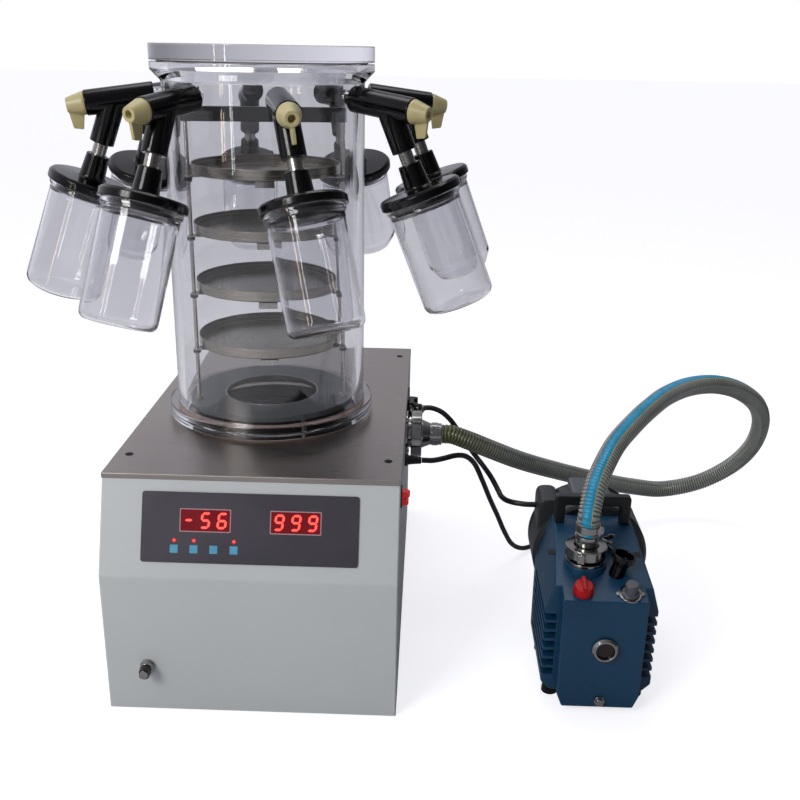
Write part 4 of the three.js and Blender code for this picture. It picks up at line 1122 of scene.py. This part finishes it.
def wing_nut(outer):
    """Hub and two rounded wings."""
    hub = lathe([(2.5, 15, 0.3), (5, 15, 0.6), (4, 22, 0.6), (2.5, 22, 0.3)], 32, TO_X)
    outline = [(15.5, 3), (17, 7.5, 2), (24, 12.6, 3), (30.5, 12.8, 2.5), (30.5, 9, 2.5), (22, 3)]
    wings = []
    for turn in (0, math.pi):
        blade = beveled(prism(outline, -1.3, 1.3, TO_Y), 0.5, 2, 40)
        wings.append(moved(blade, Matrix.Rotation(turn, 4, "X")))
    return shifted(merged(hub, *wings), 0, outer + 4, 0)


def unit_end():
    """Bolted port on the right wall, the hose's adapter, and the clamp that joins them."""
    along = aimed(UNIT_PORT, (1, 0, 0))
    port = lathe([
        (17, -1), (34, -1), (34, 3, 0.8), (21, 3, 1), (21, 12, 0.3), (27.5, 13.7, 0.3),
        (27.5, PORT_FACE, 0.4), (17, PORT_FACE),
    ], 96, along)
    bolts = []
    for angle in (45, 135, 225, 315):
        turn = Matrix.Rotation(math.radians(angle), 4, "Z")
        head = lathe([(0, 2.6), (3.2, 2.6), (3.2, 5.2, 0.8), (0, 5.2)], 6)
        bolts.append(moved(head, along @ turn @ Matrix.Translation((28, 0, 0))))
    piece("vacuum_port", merged(port, *bolts), "chrome")
    adapter = lathe([
        (13, 15.8), (27.5, 15.8, 0.4), (27.5, 17.6, 0.3), (21, 19.3, 0.3), (21, 24.8, 1), (16.2, 36, 2),
        (16.2, 53, 0.8), (13, 53, 0.4),
    ], 96, along)
    band = lathe([(16.1, 38.5, 0.3), (17.2, 38.5, 0.4), (17.2, 47.5, 0.4), (16.1, 47.5, 0.3)], 96, along)
    piece("port_adapter", merged(adapter, band), "chrome", replaces=["unit_adapter"])
    piece("port_clamp", moved(clamp_ring(34, 21, 27.5, 16), UNIT_CLAMP), "chrome",
          replaces=["unit_clamp"])
    piece("port_wing_nut", moved(wing_nut(34), UNIT_CLAMP), "chrome", body="unit_nut",
          replaces=["unit_wing_nut"])


def pump_end():
    """Clamp and adapter on the pump's inlet, with the hose's end strapped over it."""
    piece("inlet_clamp", moved(clamp_ring(27, 14, 20, 14), PUMP_CLAMP), "chrome",
          replaces=["pump_clamp"])
    piece("inlet_wing_nut", moved(wing_nut(27), PUMP_CLAMP), "chrome", body="pump_nut",
          replaces=["pump_wing_nut"])
    fitting = lathe([
        (10, GAP), (20, GAP, 0.4), (20, 2.1, 0.3), (14, 3.8, 0.3), (14, 13, 1), (16.1, 18, 1),
        (16.1, 22, 0.6), (10, 22, 0.4),
    ], 96, Matrix.Translation(INLET))
    piece("inlet_fitting", fitting, "chrome", replaces=["pump_adapter"])
    foot, top = INLET.z + 22.3, HOSE_ROUTE[-1][2]
    count = round((top - foot) / RIB_PITCH * STEPS_PER_RIB)
    down = [np.array([INLET.x, INLET.y, top + (foot - top) * k / count]) for k in range(count + 1)]
    skin = hose_skin(np.array(down), (top - foot) / count, (0.91, 0.42, 0), CUFF_TURN)
    piece("hose_end", skin, HOSE_COLORS, even=False)
    strap = lathe([(14.7, 27, 0.2), (15.7, 27, 0.3), (15.7, 36, 0.3), (14.7, 36, 0.2)], 96,
                  Matrix.Translation(INLET))
    screw = beveled(block(-5, 5, 14.8, 20.5, 27.5, 35.5, 1.5), 0.6)
    screw = shifted(moved(screw, Matrix.Rotation(math.radians(-125), 4, "Z")), *INLET)
    piece("hose_strap", merged(strap, screw), "chrome")


GLAND_AT = Vector((HALF_W, -40, PLATE_TOP - 66))
GLAND_RIBS = 5
GLAND_PITCH = 3.4


def cord_gland():
    """Ribbed boot where the mains cord leaves the wall."""
    ribs = []
    for i in range(GLAND_RIBS):
        start = 6 + GLAND_PITCH * i
        outer = 7 - 0.3 * i
        inner = outer - 0.9
        ribs += [(outer, start), (outer, start + 2.1, 0.3), (inner, start + 2.4), (inner, start + 3.2)]
    boot = lathe([(0, 0), (9, 0), (9, 4, 0.8), (7, 5, 0.3), *ribs, (5.4, 24, 0.5), (0, 24)], 32,
                 aimed(GLAND_AT, (1, 0, 0)))
    piece("cord_gland", boot, "black")


unit_end()
pump_end()
cord_gland()

# ---------- pump ----------
PUMP_X = 445
CASE_FRONT = -285
CASE_BACK = span("pump_case")[1].y
CASE_FOOT = 9
CASE_TOP = 205
FRONT_TOP = 165
TOP_FLAT = -158
HALF_CASE = 72
COVER_BACK = CASE_FRONT + 23
GROOVE_ROWS = 7
GROOVE_FIRST = 42
GROOVE_STEP = 13.5
GROOVE_IN = 16
GROOVE_TALL = 9.5
top_slope = (CASE_TOP - FRONT_TOP) / (TOP_FLAT - CASE_FRONT)
TOP_OUT = Vector((0, -top_slope, 1))


def on_top(x, y, lift=0):
    return Vector((x, y, FRONT_TOP + top_slope * (y - CASE_FRONT) + lift))


def run_y(outline, y0, y1, x=PUMP_X):
    """An outline in XZ run along Y."""
    return shifted(prism(outline, -y1, -y0, TO_Y), x, 0, 0)


def side_wedge():
    """What lies under the case's top and over its bottom."""
    outline = [(CASE_FRONT, CASE_FOOT), (CASE_BACK, CASE_FOOT), (CASE_BACK, CASE_TOP), (TOP_FLAT, CASE_TOP),
               (CASE_FRONT, FRONT_TOP)]
    return prism(outline, PUMP_X - 120, PUMP_X + 120, TO_X)


def pump_case():
    """Grooved case on four feet, with its narrower front cover, and painted shade for two sockets on its top."""
    w = HALF_CASE
    body = run_y([
        (12 - w, 18), (w - 12, 18), (w, 30), (w, 139), (w - 20, CASE_TOP + 3), (20 - w, CASE_TOP + 3),
        (-w, 139), (-w, 30),
    ], COVER_BACK, CASE_BACK)
    body = beveled(cut(body, side_wedge(), "INTERSECT"), 2.5)
    grooves = []
    for row in range(GROOVE_ROWS):
        z = GROOVE_FIRST + row * GROOVE_STEP
        for side in (-1, 1):
            x0, x1 = sorted(PUMP_X + side * (w + 1 - depth) for depth in (0, GROOVE_IN))
            grooves.append(block(x0, x1, COVER_BACK - 1, CASE_BACK - 20, z, z + GROOVE_TALL, 1.5))
    body = cut(body, merged(*grooves))
    feet = []
    for x in (16 - w, w - 16):
        for y in (COVER_BACK + 24, CASE_BACK - 20):
            foot = lathe([(0, 0), (11, 0, 1.5), (9.5, 20, 1), (0, 20)], 32)
            feet.append(shifted(foot, PUMP_X + x, y, 0))
    cover = run_y([
        (26 - w, CASE_FOOT), (w - 26, CASE_FOOT), (w - 19, 27), (w - 18, CASE_TOP), (18 - w, CASE_TOP),
        (19 - w, 27),
    ], CASE_FRONT, COVER_BACK + 5)
    cover = beveled(cut(cover, side_wedge(), "INTERSECT"), 2.2)
    piece("pump_body", body, "blue", replaces=["pump_case"])
    piece("pump_cover", cover, "blue")
    piece("pump_feet", merged(*feet), "rubber")
    sockets = []
    # Flat near-black squares stand for the sockets' holes as painted shade.
    for x in (PUMP_X - 62, PUMP_X + 50):
        hole = block(-4.5, 4.5, -4.5, 4.5, -0.4, 0.4, 1)
        sockets.append(moved(hole, aimed(on_top(x, -205), TOP_OUT)))
    piece("case_sockets", merged(*sockets), "dark")


def top_fittings():
    """Inlet stub on its seat, exhaust cup, gas ballast knob and oil filler."""
    boss = INLET.z - 12
    stub = lathe([
        (0, boss - 4), (25.5, boss - 4, 0.8), (25.5, boss, 1), (14, boss + 2, 1), (14, INLET.z - 3.5, 0.3),
        (20, INLET.z - 1.8, 0.3), (20, INLET.z, 0.4), (10, INLET.z), (10, INLET.z - 6), (0, INLET.z - 6),
    ], 64, Matrix.Translation((INLET.x, INLET.y, 0)))
    piece("inlet_stub", stub, "chrome")
    seat = lathe([(0, boss - 20), (27, boss - 20), (27, boss - 4, 1.5), (0, boss - 4)], 64)
    piece("inlet_seat", shifted(seat, INLET.x, INLET.y, 0), "blue")
    cup = lathe([
        (0, -6), (10.5, -6), (9.5, 14, 2), (11, 20, 2), (15.5, 22, 2), (15.5, 29, 1.2), (12.5, 29, 0.8),
        (10.5, 14, 2), (0, 12),
    ], 64, aimed(on_top(464, -238), (0.26, -0.05, 1)))
    piece("exhaust_cup", cup, "rubber")
    knob = lathe([(0, GAP), (13, GAP, 0.8), (13, 6, 1.5), (11.5, 13, 1.5), (0, 13.4)], 48)
    ridge = beveled(block(-2.5, 2.5, -11, 11, 11, 18, 1.5), 1.0)
    ballast_at = aimed(on_top(417, -270), TOP_OUT)
    piece("ballast_grip", moved(merged(knob, ridge), ballast_at), "red",
          body="gas_ballast", replaces=["ballast_knob"])
    cap = lathe([
        (0, GAP), (11, GAP, 0.5), (11, 5, 0.8), (8.5, 6, 0.3), (8.5, 18, 1), (7, 20, 0.8), (0, 20),
    ], 48)
    filler_at = aimed(on_top(476, -272), TOP_OUT)
    piece("filler_plug", moved(cap, filler_at), "dome", body="oil_cap",
          replaces=["filler_cap"])
    ears = [beveled(block(x - 4, x + 4, -3, 3, 0, 2.4, 2.5), 0.4, 2) for x in (-14, 14)]
    base = lathe([(11.4, 0), (14.5, 0, 0.3), (14.5, 2.4, 0.6), (11.4, 2.4, 0.3)], 48)
    piece("filler_base", moved(merged(base, *ears), filler_at), "chrome")


def front_fittings():
    """Sight glass and oil drain on the cover's front."""
    glass_at = aimed((PUMP_X + 3, CASE_FRONT, 97), (0, -1, 0))
    bezel = lathe([(12, GAP), (17, GAP, 0.4), (17, 4, 1.2), (14.5, 7, 0.8), (12, 7, 0.8), (11.4, 4)], 64)
    piece("sight_bezel", moved(bezel, glass_at), "chrome", replaces=["sight_glass"])
    lens = lathe([(0, GAP), (11.8, GAP), (11.8, 3.4, 0.6), (0, 4.4)], 48)
    piece("sight_lens", moved(lens, glass_at), "oil")
    drain = aimed((PUMP_X + 2, CASE_FRONT, 20), (0, -1, 0))
    hexagon = lathe([(0, 0), (7.5, 0), (7.5, 3, 0.6), (0, 3)], 6)
    drum = lathe([(0, 3), (5, 3), (5, 7, 0.8), (0, 7)], 32)
    piece("drain_plug", moved(merged(hexagon, drum), drain), "chrome")


MOTOR_X = 450
MOTOR_Z = 140
MOTOR_R = 80
MOTOR_BACK = -30
VENT_RINGS = [(8, 22), (14, 38), (20, 54)]


def pump_motor():
    """Barrel with a vented end, on a saddle with two feet, capacitor housing and terminal box."""
    low = span("pump_motor")[0]
    length = MOTOR_BACK - low.y
    split = 0.7 * length
    along = aimed((MOTOR_X, low.y, MOTOR_Z), (0, 1, 0))
    barrel = lathe([
        (0, 0), (MOTOR_R - 4, 0, 2), (MOTOR_R, 5, 2), (MOTOR_R, split, 1), (MOTOR_R - 4, split + 4, 1),
        (MOTOR_R - 4, split + 9, 1), (MOTOR_R, split + 12, 2), (MOTOR_R, length - 10, 5),
        (MOTOR_R - 12, length, 4), (0, length),
    ], 96, along)
    vents = []
    for count, reach in VENT_RINGS:
        for k in range(count):
            turn = Matrix.Rotation(2 * math.pi * k / count, 4, "Z")
            slot = shifted(block(-5.5, 5.5, -2, 2, length - 3, length + 3, 1.8), 0, reach, 0)
            vents.append(moved(slot, along @ turn))
    barrel = cut(barrel, merged(*vents))
    x0 = PUMP_CORD_ROUTE[-1][0] + GAP
    housing = run_y(rectangle(x0, x0 + 30, MOTOR_Z + 14, MOTOR_Z + 78, 12), low.y + 16, low.y + 70, 0)
    saddle = beveled(block(MOTOR_X - 48, MOTOR_X + 48, low.y + 20, MOTOR_BACK - 15, 10, MOTOR_Z - 50), 1.5)
    feet = []
    for x in (-38, 38):
        foot = lathe([(0, 0), (10, 0, 1), (10, 14), (0, 14)], 32)
        feet.append(shifted(foot, MOTOR_X + x, MOTOR_BACK - 30, 0))
    piece("motor_barrel", merged(barrel, saddle), "motor", replaces=["pump_motor"])
    piece("capacitor_housing", beveled(housing, 3), "motor")
    piece("motor_feet", merged(*feet), "rubber")
    box = rectangle(MOTOR_X - 28, MOTOR_X + 26, MOTOR_Z + 62, MOTOR_Z + 89, 7)
    box = run_y(box, low.y + 10, MOTOR_BACK - 16, 0)
    piece("terminal_box", beveled(box, 2.5), "dome")


BAR = 14


def pump_handle():
    """A flat bow on the case's top."""
    low, high = span("pump_handle")
    left, right, under = low.x + BAR, high.x - BAR, high.z - BAR
    outline = [
        (low.x, low.z), (left, low.z), (left, under, 3), (right, under, 3), (right, low.z),
        (high.x, low.z), (high.x, high.z, 5), (low.x, high.z, 5),
    ]
    grip = run_y(outline, low.y, high.y, 0)
    piece("carry_handle", beveled(grip, 2.2, 3, 40), "black", replaces=["pump_handle"])


pump_case()
top_fittings()
front_fittings()
pump_motor()
pump_handle()


# ---------- room and light ----------
FLOOR_REACH = 30
FLOOR_GLOW = 0.76
GLOW_THROUGH_GLASS = 0.38
LAMPS_AIM = Vector((0.15, 0, 0.35))
ROOM_LIGHT = (0.50, 0.505, 0.56, 1)
LAMPS = [
    ("key", (-1.3, -2.1, 1.9), (1.0, 1.0), 29, (0.985, 1, 1)),
    ("overhead", (0.1, 0.5, 2.6), (1.6, 1.0), 12, (1, 0.99, 0.97)),
    ("window_edge", (-1.35, -1.75, 1.0), (0.05, 1.5), 3.2, (1, 0.78, 0.55)),
    ("window_gap", (-1.0, -1.95, 1.0), (0.05, 1.5), 3.2, (0.92, 0.97, 1)),
]


def white_floor():
    """A floor that looks white and lights the object as a pale grey one would."""
    reach = FLOOR_REACH
    mesh = bpy.data.meshes.new("floor")
    mesh.from_pydata([(-reach, -reach, 0), (reach, -reach, 0), (reach, reach, 0), (-reach, reach, 0)],
                     [], [(0, 1, 2, 3)])
    floor = linked("floor", mesh)
    paint = finish("floor_paint", 0xC6C6CA, 0.85, tone=0.01, patch=1, grain=50)
    surface = paint.node_tree.nodes["Principled BSDF"]
    rays = node(paint, "LightPath").outputs
    seen = node(paint, "Math", {0: rays["Is Camera Ray"], 1: FLOOR_GLOW}, operation="MULTIPLY").outputs[0]
    through = node(paint, "Math", {0: rays["Is Transmission Ray"], 1: GLOW_THROUGH_GLASS},
                   operation="MULTIPLY").outputs[0]
    glow = node(paint, "Math", {0: seen, 1: through}, operation="ADD").outputs[0]
    paint.node_tree.links.new(glow, surface.inputs["Emission Strength"])
    fixed(surface, Emission_Color=(0.97, 0.97, 1, 1), Specular_IOR_Level=0.2)
    mesh.materials.append(paint)


def white_room():
    """A room that looks white and lights the object brighter from the left and the back."""
    world = bpy.data.worlds.new("room")
    bpy.context.scene.world = world
    world.use_nodes = True
    back = world.node_tree.nodes["Background"]
    toward = node(world, "SeparateXYZ", {"Vector": node(world, "TexCoord").outputs["Generated"]})
    across = ramp(world, toward.outputs["X"], 1.5, 0.16, -0.8, 0.8)
    along = ramp(world, toward.outputs["Y"], 0.45, 1.2, -0.7, 0.4)
    dim = node(world, "Math", {0: across, 1: along}, operation="MULTIPLY").outputs[0]
    seen = node(world, "LightPath").outputs["Is Camera Ray"]
    strength = node(world, "Mix", {0: seen, 2: dim, 3: 1.0}).outputs[0]
    color = node(world, "Mix", {0: seen, 6: ROOM_LIGHT, 7: (1, 1, 1, 1)}, data_type="RGBA").outputs[2]
    world.node_tree.links.new(strength, back.inputs["Strength"])
    world.node_tree.links.new(color, back.inputs["Color"])


def lamps():
    """Soft lamps that all point at the middle of the object."""
    for name, at, (wide, tall), power, color in LAMPS:
        lamp = bpy.data.lights.new(name, "AREA")
        lamp.shape = "RECTANGLE"
        lamp.size = wide
        lamp.size_y = tall
        lamp.energy = power
        lamp.color = color
        obj = linked(name, lamp)
        obj.location = at
        obj.rotation_euler = (LAMPS_AIM - Vector(at)).to_track_quat("-Z", "Y").to_euler()


white_floor()
white_room()
lamps()
bpy.context.scene.view_settings.view_transform = "Standard"
